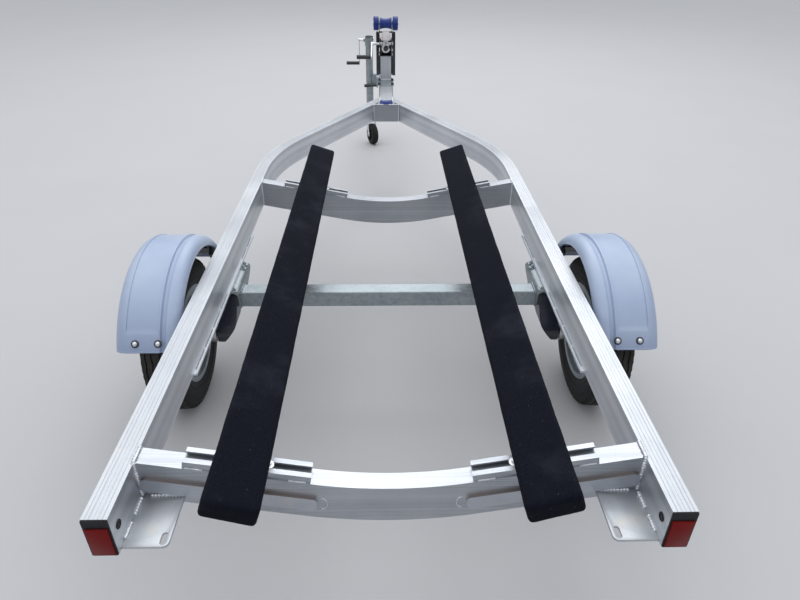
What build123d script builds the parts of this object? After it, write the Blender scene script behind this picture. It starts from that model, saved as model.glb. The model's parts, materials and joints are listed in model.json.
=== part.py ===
from build123d import *
import os
from math import acos, asin, atan2, cos, pi, radians, sin, sqrt, tan

# Small boat trailer with an aluminium V frame, carpeted bunks, a strap winch and a side-wind jack.
# Millimetres. +X is the trailer's right, +Y points forward to the coupler, +Z is up, Z 0 is the ground.
# Stations are measured forward from the rear ends of the side rails; finish() centres the length on Y 0.

# Frame heights and the side rails
RAIL_TOP = 501.0
RAIL_WIDTH = 50.8
RAIL_HEIGHT = 101.6
RAIL_WALL = 3.2
FRAME_HALF_WIDTH = 585.0
LEG_ANGLE = 27.6
BEND_STATION = 2139.0
BEND_RADIUS = 1000.0
GROOVE_COUNT = 5
GROOVE_WIDTH = 3.0
GROOVE_DEPTH = 1.0
GROOVE_PITCH = 8.4
RAIL_HOLE_RADIUS = 6.0
RAIL_HOLE_STATION = 28.0
RAIL_HOLE_DROP = 48.0

# Fits between pieces
SEAT_GAP = 0.3
RUNNING_GAP = 1.0
BORE_GAP = 0.3

# End caps and reflectors
CAP_THICKNESS = 3.0
CAP_PLUG_LENGTH = 14.0
REFLECTOR_HEIGHT = 76.0
REFLECTOR_THICKNESS = 3.5
REFLECTOR_MARGIN = 3.0

# Cross members, bent down in the middle
CROSS_DEPTH = 44.5
CROSS_HEIGHT = 101.6
CROSS_SLOPE = 11.0
CROSS_BEND_MARGIN = 1.8
CROSS_STATIONS = {"rear": 141.0, "front": 1724.0}

# Stiffening bars on the rear face of the rear cross member
BAR_INNER_REACH = 22.0
BAR_END_INSET = 14.0
BAR_HEIGHT = 36.0
BAR_LIFT = 27.0
BAR_THICKNESS = 8.0
BAR_CORNER = 12.0

# Slotted tracks on the cross members, and the seats that carry the bunks
TRACK_INNER_REACH = 132.0
TRACK_OUTER_REACH = 132.0
TRACK_WIDTH = 44.0
TRACK_HEIGHT = 16.0
TRACK_WALL = 4.0
TRACK_SLOT = 18.0
TRACK_STATION_OFFSET = 3.0
BUNK_INSET = 227.2
BUNK_WIDTH = 112.0
BUNK_THICKNESS = 50.0
BUNK_TILT = 18.5
BUNK_START = -5.0
BUNK_LENGTH = 2085.0
BUNK_END_RADIUS = 8.0
SEAT_HEIGHT = 15.8
SEAT_HALF_WIDTH = 36.0
SEAT_DEPTH = 42.0
SEAT_WINDOW_HALF = 24.0
SEAT_PLATE = 4.0

# Corner plates for the rear lamps
LAMP_PLATE_WIDTH = 91.0
LAMP_PLATE_START = 11.0
LAMP_PLATE_THICKNESS = 6.0
LAMP_PLATE_CORNER = 12.0
LAMP_SLOT_LENGTH = 16.0
LAMP_SLOT_WIDTH = 8.0
LAMP_SLOT_INSET = 15.5
LAMP_SLOT_SETBACK = 19.0

# Axle, its rails below the frame, and the trailing arms
AXLE_STATION = 1047.0
AXLE_SIZE = 57.0
AXLE_WALL = 5.0
AXLE_DROP = 120.0
AXLE_END_INSET = 27.0
AXLE_TRACK_REAR = 487.0
AXLE_TRACK_LENGTH = 860.0
AXLE_TRACK_WIDTH = 59.0
AXLE_TRACK_THICKNESS = 6.0
AXLE_BRACKET_INSET = 85.0
AXLE_BRACKET_THICKNESS = 6.0
AXLE_BRACKET_REAR = 46.0
AXLE_BRACKET_FRONT = 168.0
AXLE_BRACKET_FOOT = 34.0
AXLE_BRACKET_BEND = 24.0
ARM_TRAIL = 82.0
BEAM_LAP = 6.0
ARM_THICKNESS = 38.0
ARM_SWEEP = 24.0
ARM_SWEEP_RADIUS = 46.0
ARM_AXLE_RADIUS = 29.0
ARM_SPINDLE_RADIUS = 32.0
SPINDLE_RADIUS = 13.0

# Wheels
TYRE_RADIUS = 256.0
TYRE_WIDTH = 118.0
TYRE_TREAD_HALF = 47.0
WHEEL_OFFSET = 143.0
RIM_SEAT_RADIUS = 152.0
RIM_FLANGE_RADIUS = 166.0
RIM_HALF_WIDTH = 51.0
RIM_DROP_RADIUS = 130.0
RIM_METAL = 3.0
RIM_SEAT_WIDTH = 17.0
RIM_INNER_RAMP = 12.0
RIM_OUTER_RAMP = 18.0
RIM_RAMP_LAP = 1.0
RIM_DISC_OFFSET = 14.0
HUB_FLANGE_RADIUS = 62.0
HUB_FLANGE_THICKNESS = 9.0
HUB_BARREL_RADIUS = 31.0
HUB_INNER_END = -121.0
HUB_OUTER_END = 52.0
HUB_CAP_RADIUS = 25.0
HUB_CAP_LENGTH = 20.0
WHEEL_STUD_CIRCLE = 57.15
WHEEL_STUD_RADIUS = 6.0
WHEEL_STUD_COUNT = 4
WHEEL_STUD_LENGTH = 24.0

# Fenders
FENDER_SETBACK = 7.0
FENDER_SINK = 7.0
FENDER_RADIUS = 343.0
FENDER_INNER_REACH = 99.0
FENDER_OUTER_REACH = 96.0
FENDER_WALL = 4.0
FENDER_FRONT_ANGLE = 24.0
FENDER_REAR_ANGLE = 153.0
FENDER_LIP = 6.0
FENDER_INNER_SHOULDER = (34.0, 28.0)
FENDER_OUTER_SHOULDER = (55.0, 70.0)
FENDER_RIDGE_DROP = 2.0
FENDER_CHANNEL_WIDTH = 18.0
FENDER_CHANNEL_DEPTH = 4.0
FENDER_CHANNEL_FLANK = 4.0
FENDER_CREASE_DEPTH = 1.5
FENDER_CREASE_WIDTH = 3.0
FENDER_BRACKET_ANGLES = {"front": 34.0, "rear": 149.0}
FENDER_BRACKET_WIDTH = 38.0
FENDER_BRACKET_THICKNESS = 5.0

# Tongue and throat
TONGUE_WIDTH = 76.2
TONGUE_HEIGHT = 101.6
TONGUE_WALL = 4.8
TONGUE_SETBACK = 82.0
TONGUE_LENGTH = 1098.0
THROAT_HALF = 75.3
THROAT_THICKNESS = 6.4

# Keel roller between the throat plate and the tongue
KEEL_ROLLER_REACH = 36.0
KEEL_ROLLER_RISE = -13.0
KEEL_ROLLER_RADIUS = 31.0
KEEL_ROLLER_WAIST = 27.0
KEEL_ROLLER_LENGTH = 74.0
KEEL_SHAFT_RADIUS = 8.0
KEEL_EAR_THICKNESS = 5.0
KEEL_EAR_HEIGHT = 44.0
KEEL_EAR_NOSE = 18.0
KEEL_NUT_LENGTH = 4.0
KEEL_NUT_RADIUS = 10.0

# Coupler
BALL_REACH = 100.0
BALL_SOCKET_RADIUS = 25.9
BALL_HOUSING_RADIUS = 37.0
BALL_SOCKET_BOTTOM = 62.0
BALL_SOCKET_STRAIGHT = 26.0
COUPLER_SLEEVE_LENGTH = 130.0
COUPLER_WALL = 4.5
COUPLER_SLEEVE_HEIGHT = 66.0
COUPLER_NECK_HALF = 28.0
LATCH_PIVOT_REACH = 45.0
LATCH_PIVOT_RISE = 16.0
LATCH_LENGTH = 120.0
LATCH_WIDTH = 26.0
LATCH_THICKNESS = 5.0
LATCH_PIN_RADIUS = 5.0
LATCH_EAR_THICKNESS = 5.0
LATCH_KNUCKLE_RADIUS = 10.0

# Winch post and its foot
POST_SETBACK = 558.0
POST_DEPTH = 50.8
POST_WIDTH = 76.2
POST_TOP_RISE = 160.0
POST_WALL = 4.0
FOOT_REAR = 172.0
FOOT_FRONT = 68.0
FOOT_WIDTH = 84.0
FOOT_THICKNESS = 6.0
U_BOLT_SETBACKS = (150.0, 30.0)
U_BOLT_RADIUS = 5.0
U_BOLT_STICKOUT = 14.0
ARM_INNER_X = 44.0
ARM_OUTER_X = 64.0
ARM_CHANNEL_SETBACK = 10.0
ARM_CHANNEL_DEPTH = 60.0
ARM_CHANNEL_WALL = 4.0
ARM_BOTTOM_RISE = 36.0
ARM_TOP_RISE = 306.0

# Bow roller
BOW_SETBACK = 44.0
BOW_RISE = 369.0
BOW_EAR_THICKNESS = 4.0
BOW_EAR_RADIUS = 20.0
BOW_EAR_BOTTOM_RISE = 250.0
BOW_SHAFT_RADIUS = 8.0
BOW_SPOOL_HALF = 38.5
BOW_SPOOL_WAIST = 29.0
BOW_SPOOL_RADIUS = 36.0
BOW_BELL_RADIUS = 43.0
BOW_BELL_OUTER = 80.0
BOW_SHAFT_OVERHANG = 4.0

# Winch
WINCH_PLATE = 4.0
WINCH_FRAME_SETBACK = 62.0
WINCH_FRAME_LENGTH = 134.0
WINCH_FRAME_HEIGHT = 108.0
WINCH_NOSE = 50.0
WINCH_CORNER = 30.0
DRUM_REACH = 22.0
DRUM_RISE = 224.0
DRUM_CORE_RADIUS = 14.0
DRUM_FLANGE_RADIUS = 46.0
DRUM_FLANGE_THICKNESS = 3.0
DRUM_HALF_LENGTH = 31.0
STRAP_ROLL_RADIUS = 38.0
STRAP_WIDTH = 48.0
CRANK_SETBACK = 40.0
CRANK_RISE = 244.0
CRANK_SHAFT_RADIUS = 8.0
WINCH_ARM_X = 90.0
WINCH_ARM_LENGTH = 170.0
WINCH_ARM_ANGLE = 199.0
WINCH_ARM_WIDTH = 22.0
WINCH_ARM_THICKNESS = 6.0
WINCH_GRIP_RADIUS = 13.0
WINCH_GRIP_LENGTH = 78.0
STRAP_THICKNESS = 3.0
STRAP_GUIDE_SETBACK = 57.0
STRAP_GUIDE_RISE = 318.0
STRAP_GUIDE_RADIUS = 5.0
STRAP_END_RISE = 268.0
HOOK_RADIUS = 21.0
HOOK_WIRE = 5.5
HOOK_EYE_RADIUS = 12.0
HOOK_GATE_LENGTH = 17.0

# The winch's meshing gears
GEAR_TEETH = 48
PINION_TEETH = 12
GEAR_THICKNESS = 5.0
PRESSURE_ANGLE = 25.0
TOOTH_FILL = 0.9
ADDENDUM = 0.8
DEDENDUM = 1.1

# Jack
JACK_X = 116.0
JACK_SETBACK = 315.0
JACK_PIVOT_RISE = -45.0
JACK_TUBE_RADIUS = 25.4
JACK_TUBE_WALL = 3.2
JACK_TOP_RISE = 245.0
JACK_TUBE_BOTTOM = 262.0
JACK_MOUNT_SIZE = 104.0
JACK_MOUNT_HEIGHT = 90.0
JACK_MOUNT_THICKNESS = 8.0
JACK_RING_RADIUS = 42.0
JACK_RING_THICKNESS = 11.0
JACK_SWIVEL_THICKNESS = 9.0
JACK_PIN_RADIUS = 11.0
JACK_WEB_HALF = 18.0
LEG_RADIUS = 21.7
LEG_WALL = 3.0
LEG_TOP = 620.0
LEG_BOTTOM = 178.0
FORK_PLATE_RADIUS = 30.0
FORK_PLATE_THICKNESS = 6.0
FORK_CHEEK_THICKNESS = 4.0
FORK_CHEEK_HALF = 31.0
FORK_TRAIL = 44.0
FORK_ANGLE = 21.0
FORK_STUB_RADIUS = 8.0
CASTER_RADIUS = 75.0
CASTER_WIDTH = 48.0
CASTER_RIM_RADIUS = 46.0
CASTER_PIN_RADIUS = 6.0
GEARBOX_SIZE = 58.0
GEARBOX_HEIGHT = 54.0
JACK_CRANK_RISE = 226.0
JACK_ARM_X = 183.0
JACK_ARM_LENGTH = 155.0
JACK_ARM_THICKNESS = 5.0
JACK_ARM_WIDTH = 20.0
JACK_GRIP_RADIUS = 12.0
JACK_GRIP_LENGTH = 90.0
JACK_SHAFT_RADIUS = 7.0
PULL_PIN_RADIUS = 7.0
PULL_PIN_OFFSET = 39.0
PULL_PIN_DROP = 32.0
PULL_PIN_LENGTH = 58.0
PULL_KNOB_RADIUS = 11.0
PULL_KNOB_LENGTH = 30.0

# Places across the trailer that follow from the sizes above
RAIL_BOTTOM = RAIL_TOP - RAIL_HEIGHT
RAIL_INNER = FRAME_HALF_WIDTH - RAIL_WIDTH
BUNK_X = RAIL_INNER - BUNK_INSET
TRACK_INNER = BUNK_X - TRACK_INNER_REACH
TRACK_OUTER = BUNK_X + TRACK_OUTER_REACH
CROSS_BEND_RADIUS = (TRACK_INNER - CROSS_BEND_MARGIN) / sin(radians(CROSS_SLOPE))
BAR_INNER = TRACK_INNER - BAR_INNER_REACH
AXLE_TOP = RAIL_TOP - AXLE_DROP
AXLE_Z = AXLE_TOP - AXLE_SIZE / 2
AXLE_END = FRAME_HALF_WIDTH - AXLE_END_INSET
AXLE_BRACKET_X = FRAME_HALF_WIDTH - AXLE_BRACKET_INSET
BEAM_END = AXLE_BRACKET_X + AXLE_BRACKET_THICKNESS + BEAM_LAP
WHEEL_X = AXLE_END + WHEEL_OFFSET
FENDER_INNER_X = WHEEL_X - FENDER_INNER_REACH
FENDER_OUTER_X = WHEEL_X + FENDER_OUTER_REACH
FENDER_Z = TYRE_RADIUS - FENDER_SINK
TONGUE_HALF = TONGUE_WIDTH / 2
WINCH_FRAME_HALF = ARM_INNER_X - BOW_EAR_THICKNESS

# Places along the trailer; the throat plate lies where the V legs have come together to its width
WHEEL_STATION = AXLE_STATION - ARM_TRAIL
FENDER_STATION = WHEEL_STATION - FENDER_SETBACK
AXLE_TRACK_START = AXLE_STATION - AXLE_TRACK_REAR
LEG_CORNER = BEND_STATION + RAIL_WIDTH / 2 * tan(radians(LEG_ANGLE / 2))
LEG_INNER_AT_CORNER = FRAME_HALF_WIDTH - RAIL_WIDTH / cos(radians(LEG_ANGLE))
THROAT_STATION = LEG_CORNER + (LEG_INNER_AT_CORNER - THROAT_HALF - SEAT_GAP) / tan(radians(LEG_ANGLE))
KEEL_ROLLER_STATION = THROAT_STATION + KEEL_ROLLER_REACH
TONGUE_START = THROAT_STATION + TONGUE_SETBACK
TONGUE_END = TONGUE_START + TONGUE_LENGTH
POST_STATION = TONGUE_START + POST_SETBACK
FOOT_START = POST_STATION - FOOT_REAR
FOOT_END = POST_STATION + FOOT_FRONT
U_BOLT_STATIONS = [POST_STATION - setback for setback in U_BOLT_SETBACKS]
ARM_CHANNEL_START = POST_STATION - ARM_CHANNEL_SETBACK
BOW_STATION = POST_STATION - BOW_SETBACK
WINCH_FRAME_REAR = POST_STATION - WINCH_FRAME_SETBACK
WINCH_FRAME_FRONT = WINCH_FRAME_REAR + WINCH_FRAME_LENGTH
DRUM_STATION = POST_STATION + DRUM_REACH
CRANK_STATION = POST_STATION - CRANK_SETBACK
GEAR_SPACING = sqrt((DRUM_STATION - CRANK_STATION) ** 2 + (DRUM_RISE - CRANK_RISE) ** 2)
STRAP_GUIDE_STATION = POST_STATION - STRAP_GUIDE_SETBACK
STRAP_LINE_STATION = STRAP_GUIDE_STATION - STRAP_GUIDE_RADIUS - SEAT_GAP - STRAP_THICKNESS / 2
JACK_STATION = TONGUE_END - JACK_SETBACK
COUPLER_SLEEVE_START = TONGUE_END - COUPLER_SLEEVE_LENGTH
LATCH_PIVOT_STATION = TONGUE_END + LATCH_PIVOT_REACH
BALL_STATION = TONGUE_END + BALL_REACH
REAR_OVERHANG = CAP_THICKNESS + REFLECTOR_THICKNESS
NOSE_STATION = BALL_STATION + BALL_HOUSING_RADIUS
MIDDLE_STATION = (NOSE_STATION - REAR_OVERHANG) / 2
SIDES = {"left": -1, "right": 1}

parts = {}


def block(x0, x1, y0, y1, z0, z1):
    """A box between two corners."""
    size = (abs(x1 - x0), abs(y1 - y0), abs(z1 - z0))
    return Pos((x0 + x1) / 2, (y0 + y1) / 2, (z0 + z1) / 2) * Box(*size)


def rod(axis, centre, start, end, radius):
    """A cylinder along X, Y or Z from start to end, about the other two coordinates in centre."""
    bar = Cylinder(radius, end - start)
    middle = (start + end) / 2
    if axis == "X":
        return Pos(middle, centre[0], centre[1]) * Rot(0, 90, 0) * bar
    if axis == "Y":
        return Pos(centre[0], middle, centre[1]) * Rot(90, 0, 0) * bar
    return Pos(centre[0], centre[1], middle) * bar


def tube(axis, centre, start, end, radius, wall):
    """A round tube along X, Y or Z."""
    return rod(axis, centre, start, end, radius) - rod(axis, centre, start, end, radius - wall)


def plate_yz(points, x0, x1):
    """A flat plate with its outline in the YZ plane, from x0 to x1."""
    outline = Polyline(*[(0, y, z) for y, z in points], close=True)
    return Pos(x0, 0, 0) * extrude(make_face(outline), amount=x1 - x0, dir=(1, 0, 0))


def plate_xz(points, y0, y1):
    """A flat plate with its outline in the XZ plane, from y0 to y1."""
    outline = Polyline(*[(x, 0, z) for x, z in points], close=True)
    return Pos(0, y0, 0) * extrude(make_face(outline), amount=y1 - y0, dir=(0, 1, 0))


def plate_xy(points, z0, z1):
    """A flat plate with its outline in the XY plane, from z0 to z1."""
    outline = Polyline(*[(x, y, 0) for x, y in points], close=True)
    return Pos(0, 0, z0) * extrude(make_face(outline), amount=z1 - z0, dir=(0, 0, 1))


def spun(profile, centre):
    """Turns a closed (x, radius) outline about the X axis, then carries it to centre."""
    outline = Polyline(*[(x, 0, r) for x, r in profile], close=True)
    return Pos(*centre) * revolve(make_face(outline), Axis.X, 360)


def link_plate(first, second, first_radius, second_radius, x0, x1):
    """A flat link in the YZ plane with a round end about each of two (y, z) centres."""
    dy = second[0] - first[0]
    dz = second[1] - first[1]
    reach = sqrt(dy * dy + dz * dz)
    lean = atan2(dz, dy)
    spread = radians(90) + atan2(second_radius - first_radius, reach)
    corners = []
    for (y, z), radius, turns in ((first, first_radius, (1, -1)), (second, second_radius, (-1, 1))):
        for turn in turns:
            angle = lean + turn * spread
            corners.append((y + radius * cos(angle), z + radius * sin(angle)))
    web = plate_yz(corners, x0, x1)
    return web + rod("X", first, x0, x1, first_radius) + rod("X", second, x0, x1, second_radius)


def gear_wheel(teeth, centre, first_tooth, bore, x0, x1):
    """A spur gear about X at a (y, z) centre, with straight chords for its involute flanks.

    One tooth points along the angle first_tooth, and the pair's spacing sets the module.
    """
    module = 2 * GEAR_SPACING / (GEAR_TEETH + PINION_TEETH)
    pressure = radians(PRESSURE_ANGLE)
    pitch = module * teeth / 2
    base = pitch * cos(pressure)
    root = pitch - DEDENDUM * module
    tip = pitch + ADDENDUM * module
    flank = [root, tip] if root > base else [root, base, tip]
    flank_angles = []
    for radius in flank:
        slant = acos(base / max(radius, base))
        flank_angles.append(pi / teeth / 2 * TOOTH_FILL + tan(pressure) - pressure - tan(slant) + slant)
    outline = []
    for i in range(teeth):
        middle = first_tooth + 2 * pi * i / teeth
        rise = [(radius, middle - half) for radius, half in zip(flank, flank_angles)]
        fall = [(radius, middle + half) for radius, half in zip(flank, flank_angles)]
        outline += [(centre[0] + r * cos(a), centre[1] + r * sin(a)) for r, a in rise + fall[::-1]]
    return plate_yz(outline, x0, x1) - rod("X", centre, x0, x1, bore)


def both_sides(name, solid):
    """Adds the right-hand piece and its mirror image as two nodes."""
    parts[name + "_right"] = solid
    parts[name + "_left"] = mirror(solid, Plane.YZ)


def pair(*solids):
    """One node of like solids that don't touch: each right-hand one and its mirror image."""
    return Compound(children=[copy for solid in solids for copy in (solid, mirror(solid, Plane.YZ))])


def rail_section(width, height, grooves):
    """The rail's section in the XZ plane at its centre line, with or without the fine top grooves."""
    section = Rectangle(width, height)
    for i in range(GROOVE_COUNT if grooves else 0):
        x = (i - (GROOVE_COUNT - 1) / 2) * GROOVE_PITCH
        cut = Rectangle(GROOVE_WIDTH, 2 * GROOVE_DEPTH)
        section -= Pos(x, height / 2, 0) * cut
    return Plane.XZ * section


def rail_run(width, height, grooves):
    """A side rail's whole run: straight, bend and V leg, with the leg running past the tongue."""
    centre_x = FRAME_HALF_WIDTH - RAIL_WIDTH / 2
    middle = RAIL_TOP - RAIL_HEIGHT / 2
    set_back = BEND_RADIUS * tan(radians(LEG_ANGLE / 2))
    straight = BEND_STATION - set_back
    leg = (centre_x / sin(radians(LEG_ANGLE))) - set_back
    face = Pos(centre_x, 0, middle) * rail_section(width, height, grooves)
    run = extrude(face, amount=straight, dir=(0, 1, 0))
    bend_axis = Axis((centre_x - BEND_RADIUS, straight, 0), (0, 0, 1))
    bend_face = Pos(0, straight, 0) * face
    run += revolve(bend_face, bend_axis, LEG_ANGLE)
    leg_face = bend_face.rotate(bend_axis, LEG_ANGLE)
    heading = (-sin(radians(LEG_ANGLE)), cos(radians(LEG_ANGLE)), 0)
    run += extrude(leg_face, amount=leg, dir=heading)
    return run


def build_rails():
    outside = rail_run(RAIL_WIDTH, RAIL_HEIGHT, True)
    inside = rail_run(RAIL_WIDTH - 2 * RAIL_WALL, RAIL_HEIGHT - 2 * RAIL_WALL, False)
    rail = outside - inside
    rail -= block(-FRAME_HALF_WIDTH, TONGUE_HALF, 0, NOSE_STATION, 0, 2 * RAIL_TOP)
    hole_place = (RAIL_HOLE_STATION, RAIL_TOP - RAIL_HOLE_DROP)
    rail -= rod("X", hole_place, RAIL_INNER - RAIL_WALL, RAIL_INNER + 2 * RAIL_WALL, RAIL_HOLE_RADIUS)
    both_sides("side_rail", rail)

    cap = block(RAIL_INNER, FRAME_HALF_WIDTH, -CAP_THICKNESS, 0, RAIL_BOTTOM, RAIL_TOP)
    cap = fillet(cap.edges().filter_by(Axis.Y), RAIL_WALL)
    plug_inset = RAIL_WALL + SEAT_GAP
    cap += block(RAIL_INNER + plug_inset, FRAME_HALF_WIDTH - plug_inset, 0, CAP_PLUG_LENGTH,
                 RAIL_BOTTOM + plug_inset, RAIL_TOP - plug_inset)
    parts["end_caps"] = pair(cap)

    reflector = block(RAIL_INNER + REFLECTOR_MARGIN, FRAME_HALF_WIDTH - REFLECTOR_MARGIN,
                      -CAP_THICKNESS - REFLECTOR_THICKNESS, -CAP_THICKNESS,
                      RAIL_BOTTOM + REFLECTOR_MARGIN, RAIL_BOTTOM + REFLECTOR_MARGIN + REFLECTOR_HEIGHT)
    reflector = fillet(reflector.edges().filter_by(Axis.Y), REFLECTOR_MARGIN)
    parts["rear_reflectors"] = pair(reflector)


def cross_drop(x):
    """How far the top of a cross member lies below the rail top at a distance x from the middle."""
    slope = radians(CROSS_SLOPE)
    arc_half = CROSS_BEND_RADIUS * sin(slope)
    end_drop = (RAIL_INNER - arc_half) * tan(slope)
    if x >= arc_half:
        return (RAIL_INNER - x) * tan(slope)
    return end_drop + sqrt(CROSS_BEND_RADIUS ** 2 - x ** 2) - CROSS_BEND_RADIUS * cos(slope)


def cross_band(low, high):
    """A face in the XZ plane between two depths below a cross member's top line, seen square to it."""
    slope = radians(CROSS_SLOPE)
    lines = []
    for depth in (high, low):
        radius = CROSS_BEND_RADIUS + depth
        centre_z = RAIL_TOP - cross_drop(0) + CROSS_BEND_RADIUS
        x_arc = radius * sin(slope)
        z_arc = centre_z - radius * cos(slope)
        z_end = z_arc + (RAIL_INNER - x_arc) * tan(slope)
        lines.append((Vector(x_arc, 0, z_arc), Vector(0, 0, centre_z - radius), Vector(RAIL_INNER, 0, z_end)))
    edges = []
    for knee, bottom, end in lines:
        knee_left = Vector(-knee.X, 0, knee.Z)
        end_left = Vector(-end.X, 0, end.Z)
        edges += [Line(end_left, knee_left), ThreePointArc(knee_left, bottom, knee), Line(knee, end)]
    ends = [line[2] for line in lines]
    edges.append(Line(ends[0], ends[1]))
    edges.append(Line(Vector(-ends[0].X, 0, ends[0].Z), Vector(-ends[1].X, 0, ends[1].Z)))
    return make_face(edges)


def along_slope(x, rise):
    """A point in the XZ plane on a cross member's straight part, rise above its top line."""
    slope = radians(CROSS_SLOPE)
    return (x - rise * sin(slope), RAIL_TOP - cross_drop(x) + rise * cos(slope))


def slope_block(inner, outer, low, high, y0, y1):
    """A bar that lies along a cross member's right-hand slope, between two heights over its top line."""
    corners = [along_slope(inner, low), along_slope(outer, low), along_slope(outer, high), along_slope(inner, high)]
    return plate_xz(corners, y0, y1)


def build_cross_members():
    for place, station in CROSS_STATIONS.items():
        outside = extrude(cross_band(0, CROSS_HEIGHT), amount=CROSS_DEPTH, dir=(0, 1, 0))
        inside = extrude(cross_band(RAIL_WALL, CROSS_HEIGHT - RAIL_WALL), amount=CROSS_DEPTH - 2 * RAIL_WALL,
                         dir=(0, 1, 0))
        member = Pos(0, station, 0) * (outside - Pos(0, RAIL_WALL, 0) * inside)
        parts[place + "_cross_member"] = member
    rear = CROSS_STATIONS["rear"]
    low = BAR_LIFT - CROSS_HEIGHT
    bar = slope_block(BAR_INNER, RAIL_INNER - BAR_END_INSET, low, low + BAR_HEIGHT, rear - BAR_THICKNESS, rear)
    bar = fillet(bar.edges().filter_by(Axis.Y), BAR_CORNER)
    parts["rear_stiffener_bars"] = pair(bar)
    parts["bunk_tracks"] = pair(*[bunk_track(station) for station in CROSS_STATIONS.values()])
    parts["bunk_seats"] = pair(*[bunk_seat(station) for station in CROSS_STATIONS.values()])


def bunk_track(station):
    """A slotted extrusion that lies on the right-hand slope of a cross member."""
    start = station + (CROSS_DEPTH - TRACK_WIDTH) / 2 + TRACK_STATION_OFFSET
    end = start + TRACK_WIDTH
    track = slope_block(TRACK_INNER, TRACK_OUTER, 0, TRACK_HEIGHT, start, end)
    track -= slope_block(TRACK_INNER, TRACK_OUTER, TRACK_WALL, TRACK_HEIGHT - TRACK_WALL,
                         start + TRACK_WALL, end - TRACK_WALL)
    middle = (start + end) / 2
    track -= slope_block(TRACK_INNER, TRACK_OUTER, TRACK_HEIGHT - TRACK_WALL, TRACK_HEIGHT,
                         middle - TRACK_SLOT / 2, middle + TRACK_SLOT / 2)
    return track


def bunk_underside():
    """Height of a bunk's seat line, below the middle of its lower face."""
    return along_slope(BUNK_X, TRACK_HEIGHT)[1] + SEAT_HEIGHT


def bunk_frame():
    """The right-hand bunk's centre and tilt, as a location in the XZ plane."""
    centre_z = bunk_underside() + (BUNK_THICKNESS / 2 + SEAT_GAP) / cos(radians(BUNK_TILT))
    return Pos(BUNK_X, 0, centre_z) * Rot(0, -BUNK_TILT, 0)


def bunk_seat(station):
    """A seat that fills the wedge between the track's top and the bunk's lower face."""
    slope = radians(BUNK_TILT)
    start = station + (CROSS_DEPTH - SEAT_DEPTH) / 2 + TRACK_STATION_OFFSET
    rise = TRACK_HEIGHT
    low_inner = along_slope(BUNK_X - SEAT_HALF_WIDTH, rise)
    low_outer = along_slope(BUNK_X + SEAT_HALF_WIDTH, rise)
    under = bunk_underside()

    def under_bunk(x):
        return (x, under + (x - BUNK_X) * tan(slope))

    seat = plate_xz([low_inner, low_outer, under_bunk(low_outer[0]), under_bunk(low_inner[0])],
                    start, start + SEAT_DEPTH)
    window_low = along_slope(BUNK_X - SEAT_WINDOW_HALF, rise + SEAT_PLATE)
    window_end = along_slope(BUNK_X + SEAT_WINDOW_HALF, rise + SEAT_PLATE)
    window = plate_xz([window_low, window_end,
                       (window_end[0], under_bunk(window_end[0])[1] - SEAT_PLATE),
                       (window_low[0], under_bunk(window_low[0])[1] - SEAT_PLATE)],
                      start, start + SEAT_DEPTH)
    return seat - window


def build_bunks():
    board = Box(BUNK_WIDTH, BUNK_LENGTH, BUNK_THICKNESS)
    board = fillet(board.edges().filter_by(Axis.Y), BUNK_END_RADIUS)
    board = Pos(0, BUNK_START + BUNK_LENGTH / 2, 0) * bunk_frame() * board
    both_sides("bunk", board)


def build_lamp_plates():
    inner = RAIL_INNER - LAMP_PLATE_WIDTH
    end = CROSS_STATIONS["rear"] - SEAT_GAP
    plate = block(inner, RAIL_INNER, LAMP_PLATE_START, end, RAIL_BOTTOM, RAIL_BOTTOM + LAMP_PLATE_THICKNESS)
    corner = plate.edges().filter_by(Axis.Z).sort_by(lambda e: e.center().X + e.center().Y)[0]
    plate = fillet(corner, LAMP_PLATE_CORNER)
    slot = extrude(Rot(0, 0, 90) * SlotOverall(LAMP_SLOT_LENGTH, LAMP_SLOT_WIDTH), amount=3 * LAMP_PLATE_THICKNESS)
    slot_x = inner + LAMP_SLOT_INSET
    slot_y = LAMP_PLATE_START + LAMP_SLOT_SETBACK
    plate -= Pos(slot_x, slot_y, RAIL_BOTTOM - LAMP_PLATE_THICKNESS) * slot
    parts["lamp_plates"] = pair(plate)


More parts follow.
